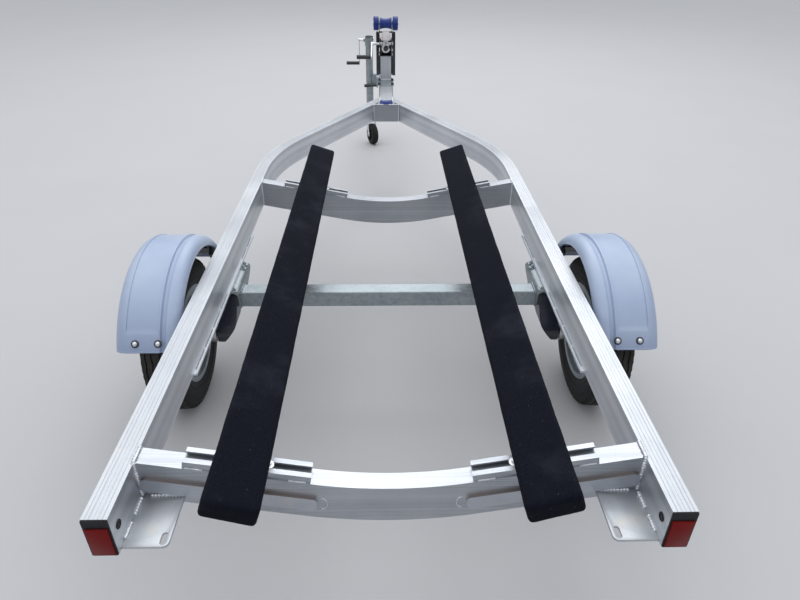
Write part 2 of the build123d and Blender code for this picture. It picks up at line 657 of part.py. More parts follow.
def build_axle():
    half = AXLE_SIZE / 2
    beam = block(-BEAM_END, BEAM_END, AXLE_STATION - half, AXLE_STATION + half, AXLE_TOP - AXLE_SIZE, AXLE_TOP)
    beam = fillet(beam.edges().filter_by(Axis.X), AXLE_WALL)
    bore_half = half - AXLE_WALL
    beam -= block(-BEAM_END, BEAM_END, AXLE_STATION - bore_half, AXLE_STATION + bore_half,
                  AXLE_Z - bore_half, AXLE_Z + bore_half)
    parts["axle_beam"] = beam

    track = block(FRAME_HALF_WIDTH - AXLE_TRACK_WIDTH, FRAME_HALF_WIDTH, AXLE_TRACK_START,
                  AXLE_TRACK_START + AXLE_TRACK_LENGTH, RAIL_BOTTOM - AXLE_TRACK_THICKNESS, RAIL_BOTTOM)
    parts["axle_tracks"] = pair(track)

    bracket_top = RAIL_BOTTOM - AXLE_TRACK_THICKNESS
    rear = AXLE_STATION - AXLE_BRACKET_REAR
    front = AXLE_STATION + AXLE_BRACKET_FRONT
    foot_z = AXLE_TOP - AXLE_SIZE
    bent = []
    for inset in (0, AXLE_BRACKET_THICKNESS):
        solid = block(AXLE_BRACKET_X + inset, AXLE_END, rear, front, foot_z, bracket_top - inset)
        corner = solid.edges().filter_by(Axis.Y).sort_by(lambda e: e.center().X - e.center().Z)[0]
        bent.append(fillet(corner, AXLE_BRACKET_BEND - inset))
    outline = [(rear, bracket_top), (front, bracket_top), (front, bracket_top - AXLE_BRACKET_THICKNESS * 2),
               (AXLE_STATION + AXLE_BRACKET_FOOT, foot_z), (AXLE_STATION - AXLE_BRACKET_FOOT, foot_z),
               (rear, bracket_top - AXLE_BRACKET_THICKNESS * 2)]
    bracket = (bent[0] - bent[1]) & plate_yz(outline, AXLE_BRACKET_X, AXLE_END)
    bracket -= block(0, AXLE_END, AXLE_STATION - half, AXLE_STATION + half, AXLE_TOP - AXLE_SIZE, AXLE_TOP)
    bar_gap = block(0, AXLE_END, AXLE_STATION - half, AXLE_STATION + half, AXLE_TOP, AXLE_TOP + SEAT_GAP)
    parts["axle_brackets"] = pair(bracket - bar_gap)

    arm_start = BEAM_END + SEAT_GAP
    arm_end = arm_start + ARM_THICKNESS + ARM_SWEEP
    arm = link_plate((AXLE_STATION, AXLE_Z), (WHEEL_STATION, TYRE_RADIUS), ARM_AXLE_RADIUS,
                     ARM_SPINDLE_RADIUS, arm_start, arm_end)
    top = AXLE_Z + ARM_AXLE_RADIUS
    bottom = TYRE_RADIUS - ARM_SPINDLE_RADIUS
    sweep = [(arm_start, top), (arm_start + ARM_THICKNESS, top), (arm_end, AXLE_Z - ARM_AXLE_RADIUS),
             (arm_end, bottom), (arm_end - ARM_SWEEP / 2, bottom), (arm_start, TYRE_RADIUS + ARM_SPINDLE_RADIUS)]
    outline = make_face(Polyline(*[(x, 0, z) for x, z in sweep], close=True))
    elbow = outline.vertices().sort_by_distance((arm_start, 0, TYRE_RADIUS + ARM_SPINDLE_RADIUS))[0]
    outline = fillet(elbow, ARM_SWEEP_RADIUS)
    arm &= Pos(0, WHEEL_STATION - ARM_SPINDLE_RADIUS, 0) * extrude(outline, amount=AXLE_STATION, dir=(0, 1, 0))
    arm += rod("X", (WHEEL_STATION, TYRE_RADIUS), arm_end, WHEEL_X + HUB_OUTER_END - RUNNING_GAP, SPINDLE_RADIUS)
    parts["trailing_arms"] = pair(arm)


def build_wheels():
    centre = (WHEEL_X, WHEEL_STATION, TYRE_RADIUS)
    half = TYRE_WIDTH / 2
    bead_r = RIM_SEAT_RADIUS + SEAT_GAP
    side_r = (TYRE_RADIUS + RIM_FLANGE_RADIUS) / 2
    # The lower sidewall is straight from the bead, just inside the rim's flange, to the widest place
    share = (RIM_FLANGE_RADIUS - bead_r) / (side_r - bead_r)
    bead_x = (RIM_HALF_WIDTH - RIM_METAL - SEAT_GAP - half * share) / (1 - share)
    wall = [(bead_x, bead_r), (half, side_r), (TYRE_TREAD_HALF, TYRE_RADIUS)]
    tyre = spun([(-x, r) for x, r in wall] + wall[::-1], centre)
    both_sides("tyre", tyre)

    seat = RIM_SEAT_RADIUS
    drop = RIM_DROP_RADIUS
    flange = RIM_FLANGE_RADIUS
    edge = RIM_HALF_WIDTH
    metal = RIM_METAL
    seat_end = edge - RIM_SEAT_WIDTH
    well_start = RIM_INNER_RAMP - seat_end
    well_end = seat_end - RIM_OUTER_RAMP
    lap = RIM_RAMP_LAP
    outer_line = [(-edge, flange), (-edge + metal, flange), (-edge + metal, seat), (-seat_end, seat),
                  (well_start, drop), (well_end, drop), (seat_end, seat), (edge - metal, seat),
                  (edge - metal, flange), (edge, flange)]
    inner_line = [(edge, seat - metal), (seat_end + lap, seat - metal), (well_end + lap, drop - metal),
                  (well_start - lap, drop - metal), (-seat_end - lap, seat - metal), (-edge, seat - metal)]
    barrel = spun(outer_line + inner_line, centre)
    disc_x = RIM_DISC_OFFSET
    dish = [(disc_x, HUB_BARREL_RADIUS + SEAT_GAP), (disc_x, 78), (disc_x + 14, 96), (disc_x - 2, drop - metal),
            (disc_x - 2 + metal, drop - metal), (disc_x + 18, 97), (disc_x + metal + 2, 76),
            (disc_x + metal, HUB_BARREL_RADIUS + SEAT_GAP)]
    rim = barrel + spun(dish, centre)
    stud_places = [Rot(360 / WHEEL_STUD_COUNT * i + 45, 0, 0) * Pos(0, WHEEL_STUD_CIRCLE, 0)
                   for i in range(WHEEL_STUD_COUNT)]
    for place in stud_places:
        hole = Rot(0, 90, 0) * Cylinder(WHEEL_STUD_RADIUS + BORE_GAP, 4 * WHEEL_STUD_RADIUS)
        rim -= Pos(*centre) * place * Pos(disc_x, 0, 0) * hole
    both_sides("rim", rim)

    flange_face = disc_x - SEAT_GAP
    bore = SPINDLE_RADIUS + BORE_GAP
    closed_end = HUB_OUTER_END
    hub = spun([(HUB_INNER_END, bore), (HUB_INNER_END, HUB_BARREL_RADIUS),
                (flange_face - HUB_FLANGE_THICKNESS, HUB_BARREL_RADIUS),
                (flange_face - HUB_FLANGE_THICKNESS, HUB_FLANGE_RADIUS + 8), (flange_face, HUB_FLANGE_RADIUS + 8),
                (flange_face, HUB_BARREL_RADIUS), (closed_end, HUB_BARREL_RADIUS),
                (closed_end, HUB_CAP_RADIUS), (closed_end + HUB_CAP_LENGTH, HUB_CAP_RADIUS - 4),
                (closed_end + HUB_CAP_LENGTH, 0), (closed_end, 0), (closed_end, bore)], centre)
    for place in stud_places:
        stud = Rot(0, 90, 0) * Cylinder(WHEEL_STUD_RADIUS, WHEEL_STUD_LENGTH)
        hub += Pos(*centre) * place * Pos(flange_face + WHEEL_STUD_LENGTH / 2 - 1, 0, 0) * stud
    both_sides("hub", hub)


def fender_line(inset):
    """The fender's skin in (x, radius), moved in from the outside: lip, shoulder, channel, crown, crease and lip."""
    inner_reach, inner_fall = FENDER_INNER_SHOULDER
    outer_reach, outer_fall = FENDER_OUTER_SHOULDER
    top = FENDER_RADIUS - inset
    ridge = top - FENDER_RIDGE_DROP
    channel = ridge - FENDER_CHANNEL_DEPTH
    inner_x = FENDER_INNER_X + inner_reach
    outer_x = FENDER_OUTER_X - outer_reach
    inner_r = FENDER_RADIUS - FENDER_RIDGE_DROP - inner_fall
    outer_r = FENDER_RADIUS - FENDER_CREASE_DEPTH - outer_fall
    band = [(inner_x, ridge), (inner_x + FENDER_CHANNEL_FLANK, channel),
            (inner_x + FENDER_CHANNEL_WIDTH - FENDER_CHANNEL_FLANK, channel), (inner_x + FENDER_CHANNEL_WIDTH, top),
            (outer_x - FENDER_CREASE_WIDTH, top), (outer_x, top - FENDER_CREASE_DEPTH)]
    low_inner = (FENDER_INNER_X + inset, inner_r - FENDER_LIP)
    low_outer = (FENDER_OUTER_X - inset, outer_r - FENDER_LIP)
    edges = [Line(low_inner, (low_inner[0], inner_r)),
             EllipticalCenterArc((inner_x, inner_r), inner_reach - inset, inner_fall - inset, 90, arc_size=90),
             Polyline(*band),
             EllipticalCenterArc((outer_x, outer_r), outer_reach - inset, outer_fall - inset, arc_size=90),
             Line((low_outer[0], outer_r), low_outer)]
    return edges, low_inner, low_outer


def fender_section():
    """The fender's face in (x, radius), one wall thick."""
    skin, skin_inner, skin_outer = fender_line(0)
    lining, lining_inner, lining_outer = fender_line(FENDER_WALL)
    return make_face(skin + lining + [Line(skin_inner, lining_inner), Line(skin_outer, lining_outer)])


def build_fenders():
    face = Pos(0, FENDER_STATION, FENDER_Z) * fender_section()
    axis = Axis((0, FENDER_STATION, FENDER_Z), (1, 0, 0))
    face = face.rotate(axis, FENDER_FRONT_ANGLE)
    fender = revolve(face, axis, FENDER_REAR_ANGLE - FENDER_FRONT_ANGLE)
    both_sides("fender", fender)

    brackets = []
    half = FENDER_BRACKET_WIDTH / 2
    metal = FENDER_BRACKET_THICKNESS
    lip = FENDER_RADIUS - FENDER_RIDGE_DROP - FENDER_INNER_SHOULDER[1] - FENDER_LIP
    lining = FENDER_RADIUS - FENDER_RIDGE_DROP - FENDER_CHANNEL_DEPTH - FENDER_WALL
    under_lip = sqrt((lip - SEAT_GAP) ** 2 - half ** 2)
    under_band = sqrt((lining - SEAT_GAP) ** 2 - half ** 2)
    step_x = FENDER_INNER_X + FENDER_INNER_SHOULDER[0]
    strap_end = FENDER_OUTER_X - FENDER_OUTER_SHOULDER[0] - FENDER_BRACKET_THICKNESS
    for angle in FENDER_BRACKET_ANGLES.values():
        strap = block(FRAME_HALF_WIDTH, step_x + metal, under_lip - metal, under_lip, -half, half)
        strap += block(step_x, step_x + metal, under_lip, under_band, -half, half)
        strap += block(step_x, strap_end, under_band - metal, under_band, -half, half)
        strap = Pos(0, FENDER_STATION, FENDER_Z) * Rot(angle, 0, 0) * strap
        foot_y = FENDER_STATION + under_lip * cos(radians(angle))
        foot_z = FENDER_Z + under_lip * sin(radians(angle))
        foot = block(FRAME_HALF_WIDTH, FRAME_HALF_WIDTH + metal, foot_y - 1.5 * half, foot_y + 1.5 * half,
                     foot_z - 1.5 * half, foot_z + 1.5 * half)
        brackets.append(strap + foot)
    parts["fender_brackets"] = pair(*brackets)


def build_tongue():
    half = TONGUE_HALF
    bottom = RAIL_TOP - TONGUE_HEIGHT
    tongue = block(-half, half, TONGUE_START, TONGUE_END, bottom, RAIL_TOP)
    tongue = fillet(tongue.edges().filter_by(Axis.Y), TONGUE_WALL)
    bore = half - TONGUE_WALL
    tongue -= block(-bore, bore, TONGUE_START, TONGUE_END, bottom + TONGUE_WALL, RAIL_TOP - TONGUE_WALL)
    parts["tongue"] = tongue

    throat_start = THROAT_STATION - THROAT_THICKNESS
    parts["throat_plate"] = block(-THROAT_HALF, THROAT_HALF, throat_start, THROAT_STATION, RAIL_BOTTOM, RAIL_TOP)

    z = RAIL_TOP + KEEL_ROLLER_RISE
    ear_inner = KEEL_ROLLER_LENGTH / 2 + RUNNING_GAP
    ear_outer = ear_inner + KEEL_EAR_THICKNESS
    ear = block(ear_inner, ear_outer, THROAT_STATION, KEEL_ROLLER_STATION, z - KEEL_EAR_HEIGHT, z + KEEL_EAR_NOSE)
    ear += rod("X", (KEEL_ROLLER_STATION, z), ear_inner, ear_outer, KEEL_EAR_NOSE)
    place = (KEEL_ROLLER_STATION, z)
    ear -= rod("X", place, ear_inner, ear_outer, KEEL_SHAFT_RADIUS + SEAT_GAP)
    parts["keel_roller_ears"] = pair(ear)
    shaft = rod("X", place, -ear_outer - SEAT_GAP, ear_outer + SEAT_GAP, KEEL_SHAFT_RADIUS)
    for side in SIDES.values():
        start = side * (ear_outer + SEAT_GAP)
        head = rod("X", place, min(start, start + side * KEEL_NUT_LENGTH), max(start, start + side * KEEL_NUT_LENGTH),
                   KEEL_NUT_RADIUS)
        shaft += head
    parts["keel_roller_pin"] = shaft
    half_length = KEEL_ROLLER_LENGTH / 2
    bore_r = KEEL_SHAFT_RADIUS + BORE_GAP
    roller = spun([(-half_length, bore_r), (-half_length, KEEL_ROLLER_RADIUS),
                   (-half_length / 2, KEEL_ROLLER_WAIST), (half_length / 2, KEEL_ROLLER_WAIST),
                   (half_length, KEEL_ROLLER_RADIUS), (half_length, bore_r)], (0, KEEL_ROLLER_STATION, z))
    parts["keel_roller"] = roller


def build_coupler():
    sleeve_half = TONGUE_HALF + SEAT_GAP + COUPLER_WALL
    top = RAIL_TOP + SEAT_GAP + COUPLER_WALL
    low = top - COUPLER_SLEEVE_HEIGHT
    sleeve = block(-sleeve_half, sleeve_half, COUPLER_SLEEVE_START, TONGUE_END, low, top)
    sleeve = fillet(sleeve.edges().filter_by(Axis.Y).group_by(Axis.Z)[-1], COUPLER_WALL)
    inside = TONGUE_HALF + SEAT_GAP
    sleeve -= block(-inside, inside, COUPLER_SLEEVE_START, TONGUE_END, low, RAIL_TOP + SEAT_GAP)
    socket_low = RAIL_TOP - BALL_SOCKET_BOTTOM
    neck_end = BALL_STATION
    neck = plate_xy([(-sleeve_half, TONGUE_END), (sleeve_half, TONGUE_END), (COUPLER_NECK_HALF, neck_end),
                     (-COUPLER_NECK_HALF, neck_end)], socket_low, top)
    web_end = BALL_STATION - BALL_HOUSING_RADIUS + COUPLER_WALL
    neck -= plate_xy([(-sleeve_half + COUPLER_WALL, TONGUE_END + COUPLER_WALL),
                      (sleeve_half - COUPLER_WALL, TONGUE_END + COUPLER_WALL),
                      (COUPLER_NECK_HALF - COUPLER_WALL, web_end), (-COUPLER_NECK_HALF + COUPLER_WALL, web_end)],
                     socket_low, top - COUPLER_WALL)
    place = (0, BALL_STATION)
    socket_top = socket_low + BALL_SOCKET_STRAIGHT
    housing = rod("Z", place, socket_low, socket_top, BALL_HOUSING_RADIUS)
    housing += Pos(0, BALL_STATION, socket_top) * Sphere(BALL_HOUSING_RADIUS)
    housing -= block(-TONGUE_WIDTH, TONGUE_WIDTH, BALL_STATION - TONGUE_WIDTH, BALL_STATION + TONGUE_WIDTH, 0, socket_low)
    coupler = sleeve + neck + housing
    coupler -= rod("Z", place, socket_low, socket_top, BALL_SOCKET_RADIUS)
    coupler -= Pos(0, BALL_STATION, socket_top) * Sphere(BALL_SOCKET_RADIUS)

    pivot = (LATCH_PIVOT_STATION, top + LATCH_PIVOT_RISE)
    lever_half = LATCH_WIDTH / 2
    ear_inner = lever_half + RUNNING_GAP
    for side in SIDES.values():
        faces = sorted((side * ear_inner, side * (ear_inner + LATCH_EAR_THICKNESS)))
        ear = block(*faces, pivot[0] - LATCH_KNUCKLE_RADIUS, pivot[0] + LATCH_KNUCKLE_RADIUS, top, pivot[1])
        ear += rod("X", pivot, *faces, LATCH_KNUCKLE_RADIUS)
        coupler += ear
    coupler += rod("X", pivot, -ear_inner, ear_inner, LATCH_PIN_RADIUS)
    parts["coupler"] = coupler

    knuckle = rod("X", pivot, -lever_half, lever_half, LATCH_KNUCKLE_RADIUS)
    lever_top = pivot[1] + LATCH_KNUCKLE_RADIUS
    lever = block(-lever_half, lever_half, pivot[0] - LATCH_LENGTH, pivot[0], lever_top - LATCH_THICKNESS, lever_top)
    grip_end = pivot[0] - LATCH_LENGTH
    lever = fillet(lever.edges().filter_by(Axis.Z).sort_by(Axis.Y)[:2], LATCH_WIDTH / 3)
    lever += block(-lever_half, lever_half, grip_end + LATCH_WIDTH, grip_end + LATCH_WIDTH + LATCH_THICKNESS,
                   top + RUNNING_GAP, lever_top - LATCH_THICKNESS)
    latch = knuckle + lever
    latch -= rod("X", pivot, -lever_half, lever_half, LATCH_PIN_RADIUS + BORE_GAP)
    parts["coupler_latch"] = latch


def build_winch_stand():
    top = RAIL_TOP
    foot_half = FOOT_WIDTH / 2
    foot = block(-foot_half, foot_half, FOOT_START, FOOT_END, top, top + FOOT_THICKNESS)
    bolt_x = TONGUE_HALF + U_BOLT_RADIUS + SEAT_GAP
    bolt_top = top + FOOT_THICKNESS + U_BOLT_STICKOUT
    bolt_low = top - TONGUE_HEIGHT - U_BOLT_RADIUS - SEAT_GAP
    bolts = []
    for station in U_BOLT_STATIONS:
        bolt = rod("X", (station, bolt_low), -bolt_x, bolt_x, U_BOLT_RADIUS)
        for side in SIDES.values():
            x = side * bolt_x
            bolt += rod("Z", (x, station), bolt_low, bolt_top, U_BOLT_RADIUS)
            bolt += Pos(x, station, bolt_low) * Sphere(U_BOLT_RADIUS)
            foot += rod("Z", (x, station), top, top + FOOT_THICKNESS, 2 * U_BOLT_RADIUS)
        bolts.append(bolt)
    for station in U_BOLT_STATIONS:
        for side in SIDES.values():
            foot -= rod("Z", (side * bolt_x, station), top, top + FOOT_THICKNESS, U_BOLT_RADIUS + SEAT_GAP)
    parts["winch_foot"] = foot
    nut_low = top + FOOT_THICKNESS
    with_nuts = []
    for station, bolt in zip(U_BOLT_STATIONS, bolts):
        for side in SIDES.values():
            nut = extrude(RegularPolygon(1.8 * U_BOLT_RADIUS, 6), amount=1.6 * U_BOLT_RADIUS)
            bolt += Pos(side * bolt_x, station, nut_low) * nut
        with_nuts.append(bolt)
    parts["u_bolts"] = Compound(children=with_nuts)

    half = POST_WIDTH / 2
    post_low = top + FOOT_THICKNESS
    post_top = top + POST_TOP_RISE
    post_end = POST_STATION + POST_DEPTH
    post = block(-half, half, POST_STATION, post_end, post_low, post_top)
    post = fillet(post.edges().filter_by(Axis.Z), POST_WALL)
    post -= block(-half + POST_WALL, half - POST_WALL, POST_STATION + POST_WALL, post_end - POST_WALL,
                  post_low, post_top)
    parts["winch_post"] = post

    start = ARM_CHANNEL_START
    end = start + ARM_CHANNEL_DEPTH
    wall = ARM_CHANNEL_WALL
    low = top + ARM_BOTTOM_RISE
    high = top + ARM_TOP_RISE
    arm = block(ARM_INNER_X, ARM_OUTER_X, start, end, low, high)
    arm -= block(ARM_INNER_X + wall, ARM_OUTER_X, start + wall, end - wall, low, high)
    spacer_low = low + wall
    spacers = block(half, ARM_INNER_X, start + 3 * wall, end - 3 * wall, spacer_low, post_top - wall)
    parts["winch_uprights"] = pair(arm + spacers)


def build_bow_roller():
    z = RAIL_TOP + BOW_RISE
    outer = ARM_INNER_X
    inner = outer - BOW_EAR_THICKNESS
    low = RAIL_TOP + BOW_EAR_BOTTOM_RISE
    foot_end = ARM_CHANNEL_START + ARM_CHANNEL_DEPTH
    high = RAIL_TOP + ARM_TOP_RISE
    place = (BOW_STATION, z)
    ear = plate_yz([(ARM_CHANNEL_START, low), (foot_end, low), (foot_end, high), (BOW_STATION + BOW_EAR_RADIUS, z),
                    (BOW_STATION - BOW_EAR_RADIUS, z), (BOW_STATION - BOW_EAR_RADIUS, high)], inner, outer)
    ear += rod("X", place, inner, outer, BOW_EAR_RADIUS)
    ear -= rod("X", place, inner, outer, BOW_SHAFT_RADIUS + BORE_GAP)
    guide_place = (STRAP_GUIDE_STATION, RAIL_TOP + STRAP_GUIDE_RISE)
    guide = rod("X", guide_place, -inner, inner, STRAP_GUIDE_RADIUS)
    parts["bow_roller_bracket"] = ear + mirror(ear, Plane.YZ) + guide

    centre = (0, BOW_STATION, z)
    half = BOW_SPOOL_HALF
    shaft = BOW_SHAFT_RADIUS
    parts["bow_roller"] = spun([(-half, shaft), (-half, BOW_SPOOL_RADIUS), (-half / 2, BOW_SPOOL_WAIST),
                                (half / 2, BOW_SPOOL_WAIST), (half, BOW_SPOOL_RADIUS), (half, shaft)], centre)
    bell_inner = outer + RUNNING_GAP
    bell = spun([(bell_inner, shaft), (bell_inner, BOW_SPOOL_RADIUS), (bell_inner + 6, BOW_BELL_RADIUS),
                 (BOW_BELL_OUTER - 8, BOW_BELL_RADIUS), (BOW_BELL_OUTER, BOW_BELL_RADIUS - 9),
                 (BOW_BELL_OUTER, shaft)], centre)
    parts["bow_roller_bells"] = pair(bell)
    shaft_end = BOW_BELL_OUTER + BOW_SHAFT_OVERHANG
    parts["bow_roller_shaft"] = rod("X", place, -shaft_end, shaft_end, shaft)


def build_winch():
    low = RAIL_TOP + POST_TOP_RISE
    high = low + WINCH_FRAME_HEIGHT
    outer = WINCH_FRAME_HALF
    inner = outer - WINCH_PLATE
    rear = WINCH_FRAME_REAR
    front = WINCH_FRAME_FRONT
    frame = block(-outer, outer, rear + WINCH_NOSE, front, low, low + WINCH_PLATE)
    side = plate_yz([(rear + WINCH_NOSE, low), (front, low), (front, high - WINCH_CORNER),
                     (front - WINCH_CORNER, high), (rear, high), (rear, high - WINCH_NOSE)], inner, outer)
    frame += side + mirror(side, Plane.YZ)
    drum_place = (DRUM_STATION, RAIL_TOP + DRUM_RISE)
    crank_place = (CRANK_STATION, RAIL_TOP + CRANK_RISE)
    frame -= rod("X", drum_place, -outer, outer, DRUM_CORE_RADIUS / 2 + BORE_GAP)
    frame -= rod("X", crank_place, -outer, outer, CRANK_SHAFT_RADIUS + BORE_GAP)
    parts["winch_frame"] = frame

    drum = rod("X", drum_place, -outer, outer, DRUM_CORE_RADIUS / 2)
    drum += rod("X", drum_place, -DRUM_HALF_LENGTH, DRUM_HALF_LENGTH, DRUM_CORE_RADIUS)
    drum += rod("X", drum_place, DRUM_HALF_LENGTH - DRUM_FLANGE_THICKNESS, DRUM_HALF_LENGTH, DRUM_FLANGE_RADIUS)
    parts["winch_drum"] = drum
    mesh_line = atan2(drum_place[1] - crank_place[1], drum_place[0] - crank_place[0])
    gear_faces = (-DRUM_HALF_LENGTH, GEAR_THICKNESS - DRUM_HALF_LENGTH)
    parts["winch_gear"] = gear_wheel(GEAR_TEETH, drum_place, mesh_line + pi + pi / GEAR_TEETH,
                                     DRUM_CORE_RADIUS + SEAT_GAP, *gear_faces)
    parts["winch_pinion"] = gear_wheel(PINION_TEETH, crank_place, mesh_line, CRANK_SHAFT_RADIUS + SEAT_GAP, *gear_faces)
    parts["strap_roll"] = tube("X", drum_place, -STRAP_WIDTH / 2, STRAP_WIDTH / 2, STRAP_ROLL_RADIUS,
                               STRAP_ROLL_RADIUS - DRUM_CORE_RADIUS)

    arm_end = (crank_place[0] + WINCH_ARM_LENGTH * cos(radians(WINCH_ARM_ANGLE)),
               crank_place[1] + WINCH_ARM_LENGTH * sin(radians(WINCH_ARM_ANGLE)))
    arm_low = -WINCH_ARM_X - WINCH_ARM_THICKNESS
    crank = link_plate(crank_place, arm_end, WINCH_ARM_WIDTH / 2, WINCH_ARM_WIDTH / 2, arm_low, -WINCH_ARM_X)
    crank += rod("X", crank_place, -WINCH_ARM_X, outer, CRANK_SHAFT_RADIUS)
    pin_end = arm_low - WINCH_GRIP_LENGTH - RUNNING_GAP
    crank += rod("X", arm_end, pin_end, arm_low, CRANK_SHAFT_RADIUS - 2)
    parts["winch_crank"] = crank
    grip = rod("X", arm_end, pin_end + RUNNING_GAP / 2, arm_low - RUNNING_GAP / 2, WINCH_GRIP_RADIUS)
    grip -= rod("X", arm_end, pin_end, arm_low, CRANK_SHAFT_RADIUS - 2)
    parts["winch_grip"] = grip

    guide = (STRAP_GUIDE_STATION, RAIL_TOP + STRAP_GUIDE_RISE)
    over_guide = STRAP_GUIDE_RADIUS + SEAT_GAP + STRAP_THICKNESS / 2
    on_roll = STRAP_ROLL_RADIUS + SEAT_GAP + STRAP_THICKNESS / 2
    reach_y = drum_place[0] - guide[0]
    reach_z = drum_place[1] - guide[1]
    lean = asin((on_roll - over_guide) / sqrt(reach_y ** 2 + reach_z ** 2))
    normal = atan2(reach_z, reach_y) + radians(90) + lean
    strap_y = STRAP_LINE_STATION
    corner_z = guide[1] + over_guide * (1 + cos(normal)) / sin(normal)
    roll_point = (0, drum_place[0] + on_roll * cos(normal), drum_place[1] + on_roll * sin(normal))
    strap_end = RAIL_TOP + STRAP_END_RISE
    line = FilletPolyline((0, strap_y, strap_end), (0, strap_y, corner_z), roll_point, radius=over_guide)
    ribbon = Pos(0, strap_y, strap_end) * Rectangle(STRAP_WIDTH, STRAP_THICKNESS)
    parts["winch_strap"] = sweep(ribbon, path=line)

    parts["strap_hook"] = Pos(0, strap_y, strap_end - SEAT_GAP) * snap_hook()


def snap_hook():
    """The strap's snap hook, hanging from its top: an eye, a teardrop bow and the sprung gate at its side."""
    half = HOOK_WIRE
    eye = (0, -HOOK_EYE_RADIUS - HOOK_WIRE)
    bow = (0, eye[1] - HOOK_EYE_RADIUS - HOOK_RADIUS)
    hook = link_plate(eye, bow, HOOK_EYE_RADIUS + HOOK_WIRE, HOOK_RADIUS + HOOK_WIRE, -half, half)
    hook = chamfer(hook.faces().filter_by(Axis.X).edges(), HOOK_WIRE / 2)
    hook -= rod("X", eye, -half, half, HOOK_EYE_RADIUS - HOOK_WIRE)
    neck = (0, bow[1] + HOOK_RADIUS / 2)
    hook -= link_plate(neck, bow, HOOK_RADIUS / 2, HOOK_RADIUS - HOOK_WIRE, -half, half)
    gate_side = -HOOK_RADIUS - HOOK_WIRE
    hook -= block(-half, half, gate_side, 0, bow[1], bow[1] + HOOK_GATE_LENGTH)
    gate_face = HOOK_WIRE - HOOK_RADIUS
    hook += block(-half / 2, half / 2, gate_face - half / 2, gate_face, bow[1] - half, bow[1] + HOOK_GATE_LENGTH + half)
    return Rot(0, 0, 90) * hook


